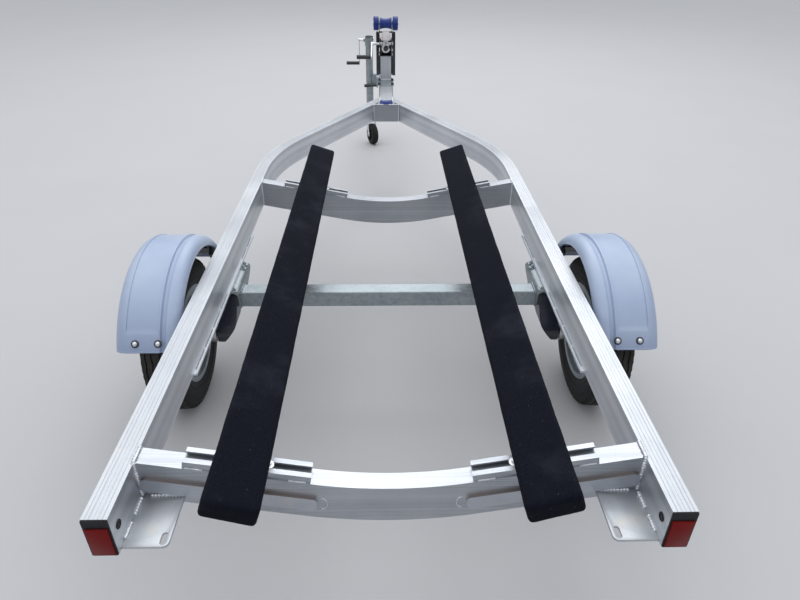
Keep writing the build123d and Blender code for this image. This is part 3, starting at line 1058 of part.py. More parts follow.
def build_jack():
    x = -JACK_X
    y = JACK_STATION
    pivot_z = RAIL_TOP + JACK_PIVOT_RISE
    pivot = (y, pivot_z)
    side = -TONGUE_HALF
    plate_x = side - JACK_MOUNT_THICKNESS
    ring_x = plate_x - JACK_RING_THICKNESS
    swivel_x = ring_x - RUNNING_GAP / 2
    half = JACK_MOUNT_SIZE / 2
    mount = block(plate_x, side, y - half, y + half, pivot_z - JACK_MOUNT_HEIGHT / 2, pivot_z + JACK_MOUNT_HEIGHT / 2)
    mount = fillet(mount.edges().filter_by(Axis.X), JACK_MOUNT_THICKNESS)
    mount += rod("X", pivot, ring_x, plate_x, JACK_RING_RADIUS)
    mount += rod("X", pivot, swivel_x - JACK_SWIVEL_THICKNESS, ring_x, JACK_PIN_RADIUS)
    parts["jack_mount"] = mount

    swivel_end = swivel_x - JACK_SWIVEL_THICKNESS
    pin_place = (y - PULL_PIN_OFFSET, pivot_z - PULL_PIN_DROP)
    swivel = link_plate(pivot, pin_place, JACK_RING_RADIUS, 2 * PULL_PIN_RADIUS, swivel_end, swivel_x)
    swivel -= rod("X", pivot, swivel_end, swivel_x, JACK_PIN_RADIUS + BORE_GAP)
    web_x = x + JACK_TUBE_RADIUS / 2
    web = block(web_x, swivel_end, y - JACK_WEB_HALF, y + JACK_WEB_HALF, pivot_z - JACK_RING_RADIUS,
                pivot_z + JACK_RING_RADIUS)
    top = RAIL_TOP + JACK_TOP_RISE
    outer_tube = rod("Z", (x, y), JACK_TUBE_BOTTOM, top, JACK_TUBE_RADIUS)
    body = outer_tube + web + swivel
    box_half = GEARBOX_SIZE / 2
    box_low = top - GEARBOX_HEIGHT
    gearbox = block(x - box_half, x + box_half, y - box_half, y + box_half, box_low, top)
    gearbox = fillet(gearbox.edges().filter_by(Axis.Z), JACK_TUBE_RADIUS / 3)
    body += gearbox
    crank_z = RAIL_TOP + JACK_CRANK_RISE
    body += rod("X", (y, crank_z), x - box_half - 10, x - box_half, 2 * JACK_SHAFT_RADIUS)
    body -= rod("Z", (x, y), JACK_TUBE_BOTTOM, box_low, JACK_TUBE_RADIUS - JACK_TUBE_WALL)
    body -= rod("X", (y, crank_z), x - box_half - 10, x, JACK_SHAFT_RADIUS + BORE_GAP)
    parts["jack_tube"] = body

    shank_end = swivel_end - PULL_PIN_LENGTH
    pin = rod("X", pin_place, shank_end, swivel_end, PULL_PIN_RADIUS)
    pin += rod("X", pin_place, shank_end - PULL_KNOB_LENGTH, shank_end, PULL_KNOB_RADIUS)
    parts["jack_pull_pin"] = pin

    leg = tube("Z", (x, y), LEG_BOTTOM, LEG_TOP, LEG_RADIUS, LEG_WALL)
    leg += rod("Z", (x, y), LEG_BOTTOM, LEG_BOTTOM + FORK_PLATE_THICKNESS, LEG_RADIUS)
    fork_top = LEG_BOTTOM - RUNNING_GAP / 2
    fork_low = fork_top - FORK_PLATE_THICKNESS
    leg += rod("Z", (x, y), fork_low - RUNNING_GAP / 2, LEG_BOTTOM, FORK_STUB_RADIUS)
    leg += rod("Z", (x, y), fork_low - RUNNING_GAP / 2 - FORK_PLATE_THICKNESS, fork_low - RUNNING_GAP / 2,
               1.6 * FORK_STUB_RADIUS)
    parts["jack_leg"] = leg

    turn = Pos(x, y, 0) * Rot(0, 0, FORK_ANGLE)
    axle_z = CASTER_RADIUS
    hole = FORK_STUB_RADIUS + BORE_GAP
    cheek_inner = FORK_CHEEK_HALF - FORK_CHEEK_THICKNESS
    crown = Pos(0, 0, fork_low + FORK_PLATE_THICKNESS / 2) * Cylinder(FORK_PLATE_RADIUS, FORK_PLATE_THICKNESS)
    crown += block(-FORK_CHEEK_HALF, FORK_CHEEK_HALF, -FORK_TRAIL / 2, FORK_PLATE_RADIUS / 2, fork_low, fork_top)
    crown -= Pos(0, 0, fork_low + FORK_PLATE_THICKNESS / 2) * Cylinder(hole, 2 * FORK_PLATE_THICKNESS)
    cheek = plate_yz([(-FORK_TRAIL / 2 - 6, fork_top), (FORK_PLATE_RADIUS / 2, fork_top),
                      (-FORK_TRAIL + 13, axle_z - 10), (-FORK_TRAIL - 13, axle_z - 10)],
                     cheek_inner, FORK_CHEEK_HALF)
    cheek += rod("X", (-FORK_TRAIL, axle_z - 2), cheek_inner, FORK_CHEEK_HALF, 15)
    fork = crown + cheek + mirror(cheek, Plane.YZ)
    fork += rod("X", (-FORK_TRAIL, axle_z), -FORK_CHEEK_HALF - 5, FORK_CHEEK_HALF + 5, CASTER_PIN_RADIUS)
    parts["caster_fork"] = turn * fork

    half_width = CASTER_WIDTH / 2
    hub_half = cheek_inner - RUNNING_GAP
    pin_bore = CASTER_PIN_RADIUS + BORE_GAP
    wheel = spun([(-hub_half, pin_bore), (-hub_half, 14), (-half_width / 3, 18), (-half_width / 3, CASTER_RIM_RADIUS),
                  (-half_width, CASTER_RIM_RADIUS), (-half_width, CASTER_RADIUS - 12),
                  (-half_width + 12, CASTER_RADIUS), (half_width - 12, CASTER_RADIUS),
                  (half_width, CASTER_RADIUS - 12), (half_width, CASTER_RIM_RADIUS),
                  (half_width / 3, CASTER_RIM_RADIUS), (half_width / 3, 18), (hub_half, 14), (hub_half, pin_bore)],
                 (0, -FORK_TRAIL, axle_z))
    parts["caster_wheel"] = turn * wheel

    crank_place = (y, crank_z)
    arm_end = (y, crank_z - JACK_ARM_LENGTH)
    arm_x = -JACK_ARM_X - JACK_ARM_THICKNESS
    crank = link_plate(crank_place, arm_end, JACK_ARM_WIDTH / 2, JACK_ARM_WIDTH / 2, arm_x, -JACK_ARM_X)
    crank += rod("X", crank_place, -JACK_ARM_X, x - box_half / 2, JACK_SHAFT_RADIUS)
    pin_end = arm_x - JACK_GRIP_LENGTH - RUNNING_GAP
    crank += rod("X", arm_end, pin_end, arm_x, JACK_SHAFT_RADIUS - 2)
    parts["jack_crank"] = crank
    grip = rod("X", arm_end, pin_end + RUNNING_GAP / 2, arm_x - RUNNING_GAP / 2, JACK_GRIP_RADIUS)
    grip -= rod("X", arm_end, pin_end, arm_x, JACK_SHAFT_RADIUS - 2)
    parts["jack_grip"] = grip


def finish():
    """Centres the trailer's length on Y 0 and writes each piece to its own file."""
    os.makedirs("parts", exist_ok=True)
    for name, solid in parts.items():
        export_step(Pos(0, -MIDDLE_STATION, 0) * solid, "parts/" + name + ".step")


build_rails()
build_cross_members()
build_bunks()
build_lamp_plates()
build_axle()
build_wheels()
build_fenders()
build_tongue()
build_coupler()
build_winch_stand()
build_bow_roller()
build_winch()
build_jack()
finish()
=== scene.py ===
"""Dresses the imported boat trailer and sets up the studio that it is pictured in.

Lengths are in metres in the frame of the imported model: +X is the trailer's right, +Y is forward to the
coupler, +Z is up and the floor is at zero.
"""

import json
import logging
import math
import random
from dataclasses import dataclass
from enum import Enum
from typing import Iterable, Sequence

import bmesh
import bpy
from mathutils import Matrix, Vector, noise


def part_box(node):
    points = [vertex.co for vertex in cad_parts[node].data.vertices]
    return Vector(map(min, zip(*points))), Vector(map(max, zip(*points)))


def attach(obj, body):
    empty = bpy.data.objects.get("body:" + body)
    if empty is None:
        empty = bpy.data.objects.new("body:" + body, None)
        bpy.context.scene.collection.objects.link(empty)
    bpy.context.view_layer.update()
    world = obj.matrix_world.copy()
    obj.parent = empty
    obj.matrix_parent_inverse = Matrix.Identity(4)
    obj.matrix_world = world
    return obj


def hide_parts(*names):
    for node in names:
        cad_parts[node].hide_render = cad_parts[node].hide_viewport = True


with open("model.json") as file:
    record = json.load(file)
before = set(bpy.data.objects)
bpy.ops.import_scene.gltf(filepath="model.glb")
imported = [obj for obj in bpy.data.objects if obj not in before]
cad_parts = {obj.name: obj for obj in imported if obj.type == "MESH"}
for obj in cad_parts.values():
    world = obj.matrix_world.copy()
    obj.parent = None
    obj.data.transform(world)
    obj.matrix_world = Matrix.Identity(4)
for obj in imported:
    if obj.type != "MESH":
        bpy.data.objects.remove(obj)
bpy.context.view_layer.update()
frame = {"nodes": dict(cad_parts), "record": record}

LOG = logging.getLogger("trailer")
REAR_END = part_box("side_rail_left")[0].y
# Places that several classes share. A station is in millimetres ahead of the rails' rear ends.
RAIL_FACE_X = 0.5342
MEMBER_SLOPE = math.radians(11.0)
REAR_MEMBER_STATION = 141.0
FRONT_MEMBER_STATION = 1724.0
TYRE_X = 0.701
JACK_STATION = 3875.0
Colour = tuple[float, float, float]
Point = tuple[float, float, float]
Spot = tuple[float, float]


def station(millimetres: float) -> float:
    """Returns the Y of a place that is this many millimetres ahead of the rails' rear ends."""
    return REAR_END + millimetres / 1000.0


class Side(Enum):
    """The two sides of the trailer, with the sign of their X."""

    LEFT = -1
    RIGHT = 1

    @property
    def word(self) -> str:
        """Returns the side's name in lower case."""
        return self.name.lower()


# Shader maths


class Signal:
    """A number that flows between nodes, with arithmetic that adds Math nodes."""

    def __init__(self, sheet: "NodeSheet", socket: bpy.types.NodeSocket) -> None:
        """Wraps a socket.

        Args:
            sheet: The material that the socket belongs to.
            socket: The output that carries the number.
        """
        self.sheet = sheet
        self.socket = socket

    def apply(self, operation: str, *others: "Signal | float") -> "Signal":
        """Adds a Math node.

        Args:
            operation: The node's operation.
            others: The values after this one.

        Returns:
            The result.
        """
        values = {index + 1: other for index, other in enumerate(others)}
        node = self.sheet.node("ShaderNodeMath", {"operation": operation}, {0: self, **values})
        return Signal(self.sheet, node.outputs[0])

    def swapped(self, operation: str, first: float) -> "Signal":
        """Adds a Math node whose first value is a plain number and returns its result."""
        node = self.sheet.node("ShaderNodeMath", {"operation": operation}, {0: first, 1: self})
        return Signal(self.sheet, node.outputs[0])

    def __add__(self, other: "Signal | float") -> "Signal":
        """Returns the sum."""
        return self.apply("ADD", other)

    def __radd__(self, other: float) -> "Signal":
        """Returns the sum."""
        return self.apply("ADD", other)

    def __sub__(self, other: "Signal | float") -> "Signal":
        """Returns the difference."""
        return self.apply("SUBTRACT", other)

    def __rsub__(self, other: float) -> "Signal":
        """Returns the difference from a plain number."""
        return self.swapped("SUBTRACT", other)

    def __mul__(self, other: "Signal | float") -> "Signal":
        """Returns the product."""
        return self.apply("MULTIPLY", other)

    def __rmul__(self, other: float) -> "Signal":
        """Returns the product."""
        return self.apply("MULTIPLY", other)

    def size(self) -> "Signal":
        """Returns the number without its sign."""
        return self.apply("ABSOLUTE")

    def between(self, low: float, high: float) -> "Signal":
        """Makes a mask out of the number.

        Args:
            low: Where the mask starts to rise from 0.
            high: Where it reaches 1.

        Returns:
            The mask, which rises smoothly between the two.
        """
        settings = {"interpolation_type": "SMOOTHSTEP"}
        values = {"Value": self, "From Min": low, "From Max": high}
        return Signal(self.sheet, self.sheet.node("ShaderNodeMapRange", settings, values).outputs[0])


class NodeSheet:
    """A material under construction."""

    def __init__(self, name: str) -> None:
        """Starts an empty material.

        Args:
            name: The material's name.
        """
        self.material = bpy.data.materials.new(name)
        self.material.use_nodes = True
        self.tree = self.material.node_tree
        self.tree.nodes.clear()

    def node(self, kind: str, settings: dict[str, object] | None = None,
             values: dict[str | int, object] | None = None) -> bpy.types.Node:
        """Adds a node, makes its settings and then fills its sockets.

        Args:
            kind: The node's type.
            settings: Its properties.
            values: A number, colour, socket or Signal for each socket.

        Returns:
            The node.
        """
        node = self.tree.nodes.new(kind)
        for key, value in (settings or {}).items():
            setattr(node, key, value)
        for key, value in (values or {}).items():
            source = value.socket if isinstance(value, Signal) else value
            if isinstance(source, bpy.types.NodeSocket):
                self.tree.links.new(source, node.inputs[key])
            elif isinstance(source, tuple) and node.inputs[key].type == "RGBA":
                node.inputs[key].default_value = (*source, 1.0)
            else:
                node.inputs[key].default_value = source
        return node

    def place(self) -> bpy.types.NodeSocket:
        """Returns the point on the surface in Object coordinates."""
        return self.node("ShaderNodeTexCoord").outputs["Object"]

    def stretched(self, vector: bpy.types.NodeSocket, scale: Point) -> bpy.types.NodeSocket:
        """Returns a vector scaled along each axis."""
        return self.node("ShaderNodeMapping", {}, {"Vector": vector, "Scale": scale}).outputs[0]

    def parts(self, vector: bpy.types.NodeSocket) -> tuple[Signal, Signal, Signal]:
        """Returns a vector's three numbers."""
        outputs = self.node("ShaderNodeSeparateXYZ", {}, {0: vector}).outputs
        return Signal(self, outputs[0]), Signal(self, outputs[1]), Signal(self, outputs[2])

    def noise(self, vector: bpy.types.NodeSocket, scale: float, detail: float = 3.0,
              roughness: float = 0.5) -> Signal:
        """Returns noise between 0 and 1 over a vector."""
        values = {"Vector": vector, "Scale": scale, "Detail": detail, "Roughness": roughness}
        return Signal(self, self.node("ShaderNodeTexNoise", {}, values).outputs[0])

    def streaks(self, across: Signal, scale: float, detail: float = 2.0) -> Signal:
        """Makes noise that changes only with one number, and so runs in lines.

        Args:
            across: The number.
            scale: How many lines there are to a metre.
            detail: How fine the lines divide.

        Returns:
            The noise, between 0 and 1.
        """
        values = {"W": across, "Scale": scale, "Detail": detail}
        node = self.node("ShaderNodeTexNoise", {"noise_dimensions": "1D"}, values)
        return Signal(self, node.outputs[0])

    def mixed(self, amount: Signal | float, first: object, second: object) -> bpy.types.NodeSocket:
        """Returns a colour between two colours."""
        settings = {"data_type": "RGBA", "clamp_factor": True}
        return self.node("ShaderNodeMix", settings, {0: amount, 6: first, 7: second}).outputs[2]

    def bumped(self, height: Signal, depth: float, strength: float = 1.0) -> bpy.types.NodeSocket:
        """Returns a normal that follows a height of up to depth metres."""
        values = {"Height": height, "Distance": depth, "Strength": strength}
        return self.node("ShaderNodeBump", {}, values).outputs[0]

    def close(self, values: dict[str, object]) -> bpy.types.Material:
        """Adds the shader and returns the finished material.

        Args:
            values: What goes into the Principled shader's sockets.

        Returns:
            The material.
        """
        shader = self.node("ShaderNodeBsdfPrincipled", {}, values)
        output = self.node("ShaderNodeOutputMaterial")
        self.tree.links.new(shader.outputs[0], output.inputs[0])
        return self.material


# Finishes


class Grain(Enum):
    """How the drawing lines of an aluminium section run."""

    RAIL = "along the bent side rail"
    ACROSS = "along X"
    ALONG = "along Y"
    UPRIGHT = "along Z"


@dataclass(frozen=True)
class MillAluminium:
    """Drawn aluminium with fine lengthwise lines, handling marks and a soft oxide bloom.

    The lines lean, so that they show on faces of every direction. On a side rail they turn with its
    bend, whose centre lies bend_reach beyond the middle line.
    """

    name: str
    grain: Grain
    light: Colour = (0.74, 0.76, 0.79)
    dark: Colour = (0.40, 0.42, 0.46)
    stain: Colour = (0.60, 0.55, 0.46)
    roughness: float = 0.36
    brushing: float = 1.0
    staining: float = 0.12
    upward_darkening: float = 0.0
    lean: float = 0.73
    bend_reach: float = 0.4404
    bend_station: float = 1893.4
    bend_angle: float = math.radians(27.6)

    def across(self, sheet: NodeSheet) -> Signal:
        """Returns the distance across the grain, which bends with the rails.

        Args:
            sheet: The material.

        Returns:
            A length that stays the same along one drawing line.
        """
        x, y, z = sheet.parts(sheet.place())
        if self.grain is Grain.ACROSS:
            return y + z * self.lean
        if self.grain is Grain.ALONG:
            return x + z * self.lean
        if self.grain is Grain.UPRIGHT:
            return x + y * self.lean
        outwards = x.size() + self.bend_reach
        forwards = y - station(self.bend_station)
        turn = forwards.apply("ARCTAN2", outwards)
        turn = turn.apply("MAXIMUM", 0.0).apply("MINIMUM", self.bend_angle)
        across = outwards * turn.apply("COSINE") + forwards * turn.apply("SINE")
        return across + z * self.lean

    def paint(self) -> bpy.types.Material:
        """Layers the drawn lines, bloom, specks, stains and a brown darkening of upward-facing faces.

        Returns:
            The material.
        """
        sheet = NodeSheet(self.name)
        across = self.across(sheet)
        lines = sheet.streaks(across, 420.0, 3.0)
        broad = sheet.streaks(across, 55.0, 1.0)
        bloom = sheet.noise(sheet.place(), 3.2, 4.0, 0.6)
        specks = sheet.noise(sheet.place(), 240.0, 2.0).between(0.64, 0.75)
        drawn = (lines * 0.42 + broad * 0.26 - 0.34) * self.brushing + 0.34
        amount = (drawn + bloom * 0.42 - 0.02).between(0.22, 0.82)
        colour = sheet.mixed(amount, self.dark, self.light)
        cloud = sheet.noise(sheet.place(), 17.0, 4.0, 0.65).between(0.50, 0.72)
        colour = sheet.mixed(cloud * self.staining, colour, self.stain)
        colour = sheet.mixed(specks * 0.35, colour, (0.24, 0.25, 0.27))
        # Darkens the upward-facing faces towards brown.
        if self.upward_darkening:
            facing = sheet.node("ShaderNodeNewGeometry").outputs["Normal"]
            upward = sheet.parts(facing)[2].between(0.55, 0.85)
            colour = sheet.mixed(upward * self.upward_darkening, colour, (0.16, 0.10, 0.06))
        rough = lines * (0.16 * self.brushing) + bloom * 0.16 + (self.roughness - 0.14)
        height = lines * (0.8 * self.brushing) + sheet.noise(sheet.place(), 90.0) * 0.35
        return sheet.close({"Base Color": colour, "Metallic": 0.86, "Roughness": rough,
                            "Normal": sheet.bumped(height, 0.00035, 0.55)})


@dataclass(frozen=True)
class Galvanised:
    """Hot-dip zinc with crystal spangle, drips and a pale bloom."""

    name: str
    light: Colour = (0.43, 0.475, 0.50)
    dark: Colour = (0.25, 0.29, 0.31)
    crystal: float = 90.0
    roughness: float = 0.48

    def paint(self) -> bpy.types.Material:
        """Layers the spangle, the pale bloom and the dirt.

        Returns:
            The material.
        """
        sheet = NodeSheet(self.name)
        place = sheet.place()
        warp = sheet.node("ShaderNodeTexNoise", {}, {"Vector": place, "Scale": 40.0}).outputs[1]
        moved = sheet.node("ShaderNodeMix", {"data_type": "VECTOR"},
                           {0: 0.012, 4: place, 5: warp}).outputs[1]
        cells = sheet.node("ShaderNodeTexVoronoi", {}, {"Vector": moved, "Scale": self.crystal})
        tint = Signal(sheet, sheet.node("ShaderNodeSeparateColor", {}, {0: cells.outputs[1]}).outputs[0])
        cloud = sheet.noise(place, 9.0, 5.0, 0.62)
        amount = (tint * 0.26 + cloud * 0.62 + 0.04).between(0.16, 0.84)
        colour = sheet.mixed(amount, self.dark, self.light)
        dirt = sheet.noise(place, 26.0, 4.0, 0.7).between(0.60, 0.78)
        colour = sheet.mixed(dirt * 0.22, colour, (0.20, 0.19, 0.18))
        rough = tint * 0.14 + cloud * 0.2 + (self.roughness - 0.17)
        height = tint * 0.25 + sheet.noise(place, 130.0, 3.0) * 0.6
        return sheet.close({"Base Color": colour, "Metallic": 0.8, "Roughness": rough,
                            "Normal": sheet.bumped(height, 0.0005, 0.5)})


@dataclass(frozen=True)
class BrightZinc:
    """Bright plated steel of fasteners, hooks and shafts."""

    name: str
    colour: Colour = (0.70, 0.71, 0.73)
    tarnish: Colour = (0.40, 0.39, 0.37)
    roughness: float = 0.28

    def paint(self) -> bpy.types.Material:
        """Tarnishes the bright plating in small clouds.

        Returns:
            The material.
        """
        sheet = NodeSheet(self.name)
        place = sheet.place()
        cloud = sheet.noise(place, 70.0, 4.0, 0.6)
        fine = sheet.noise(place, 620.0, 2.0)
        colour = sheet.mixed(cloud.between(0.44, 0.78) * 0.5, self.colour, self.tarnish)
        rough = cloud * 0.24 + fine * 0.10 + (self.roughness - 0.14)
        return sheet.close({"Base Color": colour, "Metallic": 0.9, "Roughness": rough,
                            "Normal": sheet.bumped(fine, 0.00012, 0.5)})


@dataclass(frozen=True)
class SteelPaint:
    """Enamel on steel, with settled dust and a few chips."""

    name: str
    colour: Colour
    dust: Colour = (0.26, 0.26, 0.27)
    chip: Colour = (0.30, 0.27, 0.25)
    roughness: float = 0.34
    dusting: float = 0.22

    def paint(self) -> bpy.types.Material:
        """Dusts and chips the enamel.

        Returns:
            The material.
        """
        sheet = NodeSheet(self.name)
        place = sheet.place()
        cloud = sheet.noise(place, 12.0, 5.0, 0.62)
        fine = sheet.noise(place, 480.0, 2.0)
        peel = sheet.noise(place, 260.0, 1.0)
        chips = sheet.noise(place, 95.0, 3.0, 0.6).between(0.71, 0.75)
        colour = sheet.mixed(cloud.between(0.42, 0.78) * self.dusting, self.colour, self.dust)
        colour = sheet.mixed(chips * 0.7, colour, self.chip)
        rough = cloud * 0.30 + chips * 0.25 + (self.roughness - 0.14)
        return sheet.close({"Base Color": colour, "Metallic": 0.0, "Roughness": rough,
                            "Normal": sheet.bumped(peel + fine * 0.4, 0.0002, 0.5),
                            "Coat Weight": 0.18, "Coat Roughness": 0.2})


@dataclass(frozen=True)
class MouldedPlastic:
    """Moulded plastic with a fine grain, cloudy fading, dirt and, when a low colour is given, painted shade
    that darkens its lower part.
    """

    name: str
    colour: Colour
    faded: Colour
    grain: float = 620.0
    roughness: float = 0.42
    relief: float = 0.00012
    clouding: float = 5.0
    dirt: float = 0.10
    specular: float = 0.5
    # low: a darker colour, painted as shade on the lower part; the span below gives the heights it fades
    # across.
    low: Colour | None = None
    low_shade_span: Spot = (0.34, 0.58)

    def paint(self) -> bpy.types.Material:
        """Fades, scuffs and dirties the plastic, and paints shade on its lower part when a low colour is
        given.

        Returns:
            The material.
        """
        sheet = NodeSheet(self.name)
        place = sheet.place()
        cloud = sheet.noise(place, self.clouding, 4.0, 0.55)
        fine = sheet.noise(place, self.grain, 2.0)
        scuffs = sheet.noise(sheet.stretched(place, (18.0, 90.0, 90.0)), 1.6, 4.0, 0.7)
        colour = sheet.mixed(cloud.between(0.32, 0.72), self.colour, self.faded)
        # Painted shade: the colour darkens towards the low colour lower down.
        if self.low is not None:
            height = sheet.parts(place)[2] + cloud * 0.05
            colour = sheet.mixed(height.between(*self.low_shade_span), self.low, colour)
        grime = sheet.noise(place, 46.0, 5.0, 0.7).between(0.56, 0.76)
        colour = sheet.mixed(grime * self.dirt, colour, (0.12, 0.11, 0.10))
        rough = cloud * 0.12 + scuffs.between(0.5, 0.8) * 0.16 + (self.roughness - 0.08)
        return sheet.close({"Base Color": colour, "Metallic": 0.0, "Roughness": rough,
                            "Normal": sheet.bumped(fine, self.relief, 0.6),
                            "Specular IOR Level": self.specular})


@dataclass(frozen=True)
class TyreRubber:
    """Black rubber, greyer with road dust on the tread than on the sidewalls."""

    name: str
    colour: Colour = (0.009, 0.009, 0.010)
    dusty: Colour = (0.060, 0.052, 0.045)

    def paint(self) -> bpy.types.Material:
        """Dusts the tread more than the sidewalls.

        Returns:
            The material.
        """
        sheet = NodeSheet(self.name)
        place = sheet.place()
        x, _, _ = sheet.parts(place)
        tread = 1.0 - (x.size() - TYRE_X).size().between(0.040, 0.056)
        cloud = sheet.noise(place, 16.0, 5.0, 0.65)
        fine = sheet.noise(place, 700.0, 2.0)
        dust = (tread * 0.55 + 0.14) * cloud.between(0.30, 0.72)
        colour = sheet.mixed(dust, self.colour, self.dusty)
        rough = cloud * 0.2 + 0.52
        return sheet.close({"Base Color": colour, "Roughness": rough, "Specular IOR Level": 0.25,
                            "Normal": sheet.bumped(fine + cloud, 0.00025, 0.5)})


@dataclass(frozen=True)
class BunkCarpet:
    """Short, dense marine carpet: dark needle-punched fibre with pale lint and a few wear marks."""

    name: str
    colour: Colour = (0.0026, 0.0034, 0.0068)
    tip: Colour = (0.0110, 0.0132, 0.0215)
    lint: Colour = (0.21, 0.22, 0.24)

    def paint(self) -> bpy.types.Material:
        """Mixes the fibre with wear marks and lint.

        Returns:
            The material.
        """
        sheet = NodeSheet(self.name)
        place = sheet.place()
        fibre = sheet.noise(sheet.stretched(place, (1.0, 0.55, 1.0)), 900.0, 3.0, 0.65)
        tuft = sheet.noise(place, 260.0, 3.0, 0.6)
        wear = sheet.noise(place, 6.0, 4.0, 0.6)
        lint = sheet.noise(place, 330.0, 2.0).between(0.735, 0.77)
        colour = sheet.mixed(fibre.between(0.38, 0.72), self.colour, self.tip)
        colour = sheet.mixed(wear.between(0.50, 0.78) * 0.62, colour, (0.020, 0.023, 0.031))
        colour = sheet.mixed(lint * 0.6, colour, self.lint)
        height = fibre * 0.6 + tuft * 0.6
        return sheet.close({"Base Color": colour, "Roughness": 0.94,
                            "Sheen Weight": 0.015, "Sheen Roughness": 0.5, "Specular IOR Level": 0.06,
                            "Normal": sheet.bumped(height, 0.0011, 0.9)})


@dataclass(frozen=True)
class Webbing:
    """Woven strap whose ribs run across it."""

    name: str
    colour: Colour
    shade: Colour
    stripe: Colour

    def paint(self) -> bpy.types.Material:
        """Weaves the strap, with a stripe near each edge.

        Returns:
            The material.
        """
        sheet = NodeSheet(self.name)
        x, y, z = sheet.parts(sheet.place())
        along = z + y
        warp = (x * 2600.0).apply("SINE") * 0.5 + 0.5
        weft = (along * 3600.0).apply("SINE") * 0.5 + 0.5
        weave = warp * weft
        wear = sheet.noise(sheet.place(), 34.0, 5.0, 0.65)
        edge = x.size().between(0.0215, 0.0222) * (1.0 - x.size().between(0.0235, 0.0242))
        colour = sheet.mixed(weave * 0.6 + wear * 0.3, self.shade, self.colour)
        colour = sheet.mixed(edge * 0.8, colour, self.stripe)
        return sheet.close({"Base Color": colour, "Roughness": 0.78, "Sheen Weight": 0.15,
                            "Normal": sheet.bumped(weave + wear * 0.4, 0.0005, 0.7)})


@dataclass(frozen=True)
class PrismReflector:
    """Dark red reflex plastic with its little prisms under a smooth face."""

    name: str
    colour: Colour = (0.21, 0.0020, 0.0014)
    shade: Colour = (0.085, 0.0008, 0.0007)

    def paint(self) -> bpy.types.Material:
        """Sets the prisms under the smooth face.

        Returns:
            The material.
        """
        sheet = NodeSheet(self.name)
        place = sheet.place()
        cells = sheet.node("ShaderNodeTexVoronoi", {"feature": "DISTANCE_TO_EDGE"},
                           {"Vector": place, "Scale": 330.0, "Randomness": 0.05})
        edge = Signal(sheet, cells.outputs[0])
        cloud = sheet.noise(place, 22.0, 3.0, 0.6)
        colour = sheet.mixed(edge.between(0.02, 0.34) * 0.6 + cloud * 0.4, self.shade, self.colour)
        return sheet.close({"Base Color": colour, "Roughness": 0.30, "Coat Weight": 0.03,
                            "Coat Roughness": 0.08, "Specular IOR Level": 0.14,
                            "Normal": sheet.bumped(edge, 0.0004, 0.5)})


@dataclass(frozen=True)
class StudioFloor:
    """Pale studio floor with a faint even grain."""

    name: str
    colour: Colour = (0.44, 0.44, 0.45)

    def paint(self) -> bpy.types.Material:
        """Clouds the grey a little.

        Returns:
            The material.
        """
        sheet = NodeSheet(self.name)
        cloud = sheet.noise(sheet.place(), 1.4, 4.0, 0.5)
        colour = sheet.mixed(cloud, self.colour, tuple(min(1.0, c * 1.06) for c in self.colour))
        return sheet.close({"Base Color": colour, "Roughness": 0.85})


FINISHES = {
    "rail_aluminium": MillAluminium("rail_aluminium", Grain.RAIL),
    "cross_aluminium": MillAluminium("cross_aluminium", Grain.ACROSS, (0.55, 0.57, 0.60),
                                     (0.26, 0.28, 0.32)),
    "tongue_aluminium": MillAluminium("tongue_aluminium", Grain.ALONG),
    "post_aluminium": MillAluminium("post_aluminium", Grain.UPRIGHT),
    "plate_aluminium": MillAluminium("plate_aluminium", Grain.ALONG, (0.64, 0.66, 0.68),
                                     (0.38, 0.40, 0.43), roughness=0.54, brushing=0.25, staining=0.5),
    "throat_aluminium": MillAluminium("throat_aluminium", Grain.ACROSS, (0.42, 0.45, 0.49),
                                      (0.28, 0.30, 0.34), brushing=0.3),
    "bar_aluminium": MillAluminium("bar_aluminium", Grain.ACROSS, (0.58, 0.60, 0.65),
                                   (0.34, 0.36, 0.41), brushing=0.4, staining=0.3, upward_darkening=0.7),
    "weld_bead": BrightZinc("weld_bead", (0.74, 0.75, 0.78), (0.34, 0.34, 0.36), 0.38),
    # Bright zinc darkened as painted shade, for the winch's gear and drum, which sit in shade inside the
    # winch.
    "shaded_zinc": BrightZinc("shaded_zinc", (0.16, 0.16, 0.17), (0.06, 0.06, 0.06), 0.40),
    "galvanised_steel": Galvanised("galvanised_steel"),
    "arm_paint": SteelPaint("arm_paint", (0.016, 0.020, 0.034), roughness=0.30),
    "black_paint": SteelPaint("black_paint", (0.013, 0.013, 0.015)),
    "zinc_plate": BrightZinc("zinc_plate"),
    "hook_zinc": BrightZinc("hook_zinc", (0.80, 0.81, 0.83), (0.52, 0.52, 0.53), 0.24),
    "tyre_rubber": TyreRubber("tyre_rubber"),
    # The fender's low colour is painted shade on its lower part.
    "fender_plastic": MouldedPlastic("fender_plastic", (0.325, 0.395, 0.545), (0.385, 0.455, 0.585),
                                     roughness=0.40, dirt=0.05, low=(0.215, 0.265, 0.400)),
    "roller_rubber": MouldedPlastic("roller_rubber", (0.002, 0.016, 0.140), (0.006, 0.034, 0.225),
                                    clouding=30.0, roughness=0.36, dirt=0.25, relief=0.0002, specular=0.35),
    "grip_plastic": MouldedPlastic("grip_plastic", (0.012, 0.012, 0.013), (0.030, 0.030, 0.032),
                                   clouding=30.0, roughness=0.46),
    "cap_plastic": MouldedPlastic("cap_plastic", (0.006, 0.006, 0.007), (0.016, 0.016, 0.019),
                                  clouding=24.0, roughness=0.50, specular=0.25),
    "reflector_red": PrismReflector("reflector_red"),
    "bunk_carpet": BunkCarpet("bunk_carpet"),
    "strap_webbing": Webbing("strap_webbing", (0.90, 0.86, 0.88), (0.62, 0.56, 0.59), (0.34, 0.13, 0.18)),
    # A darker copy of the strap webbing: painted shade for the rolled strap.
    "strap_dark": Webbing("strap_dark", (0.16, 0.15, 0.17), (0.07, 0.07, 0.08), (0.04, 0.04, 0.05)),
}
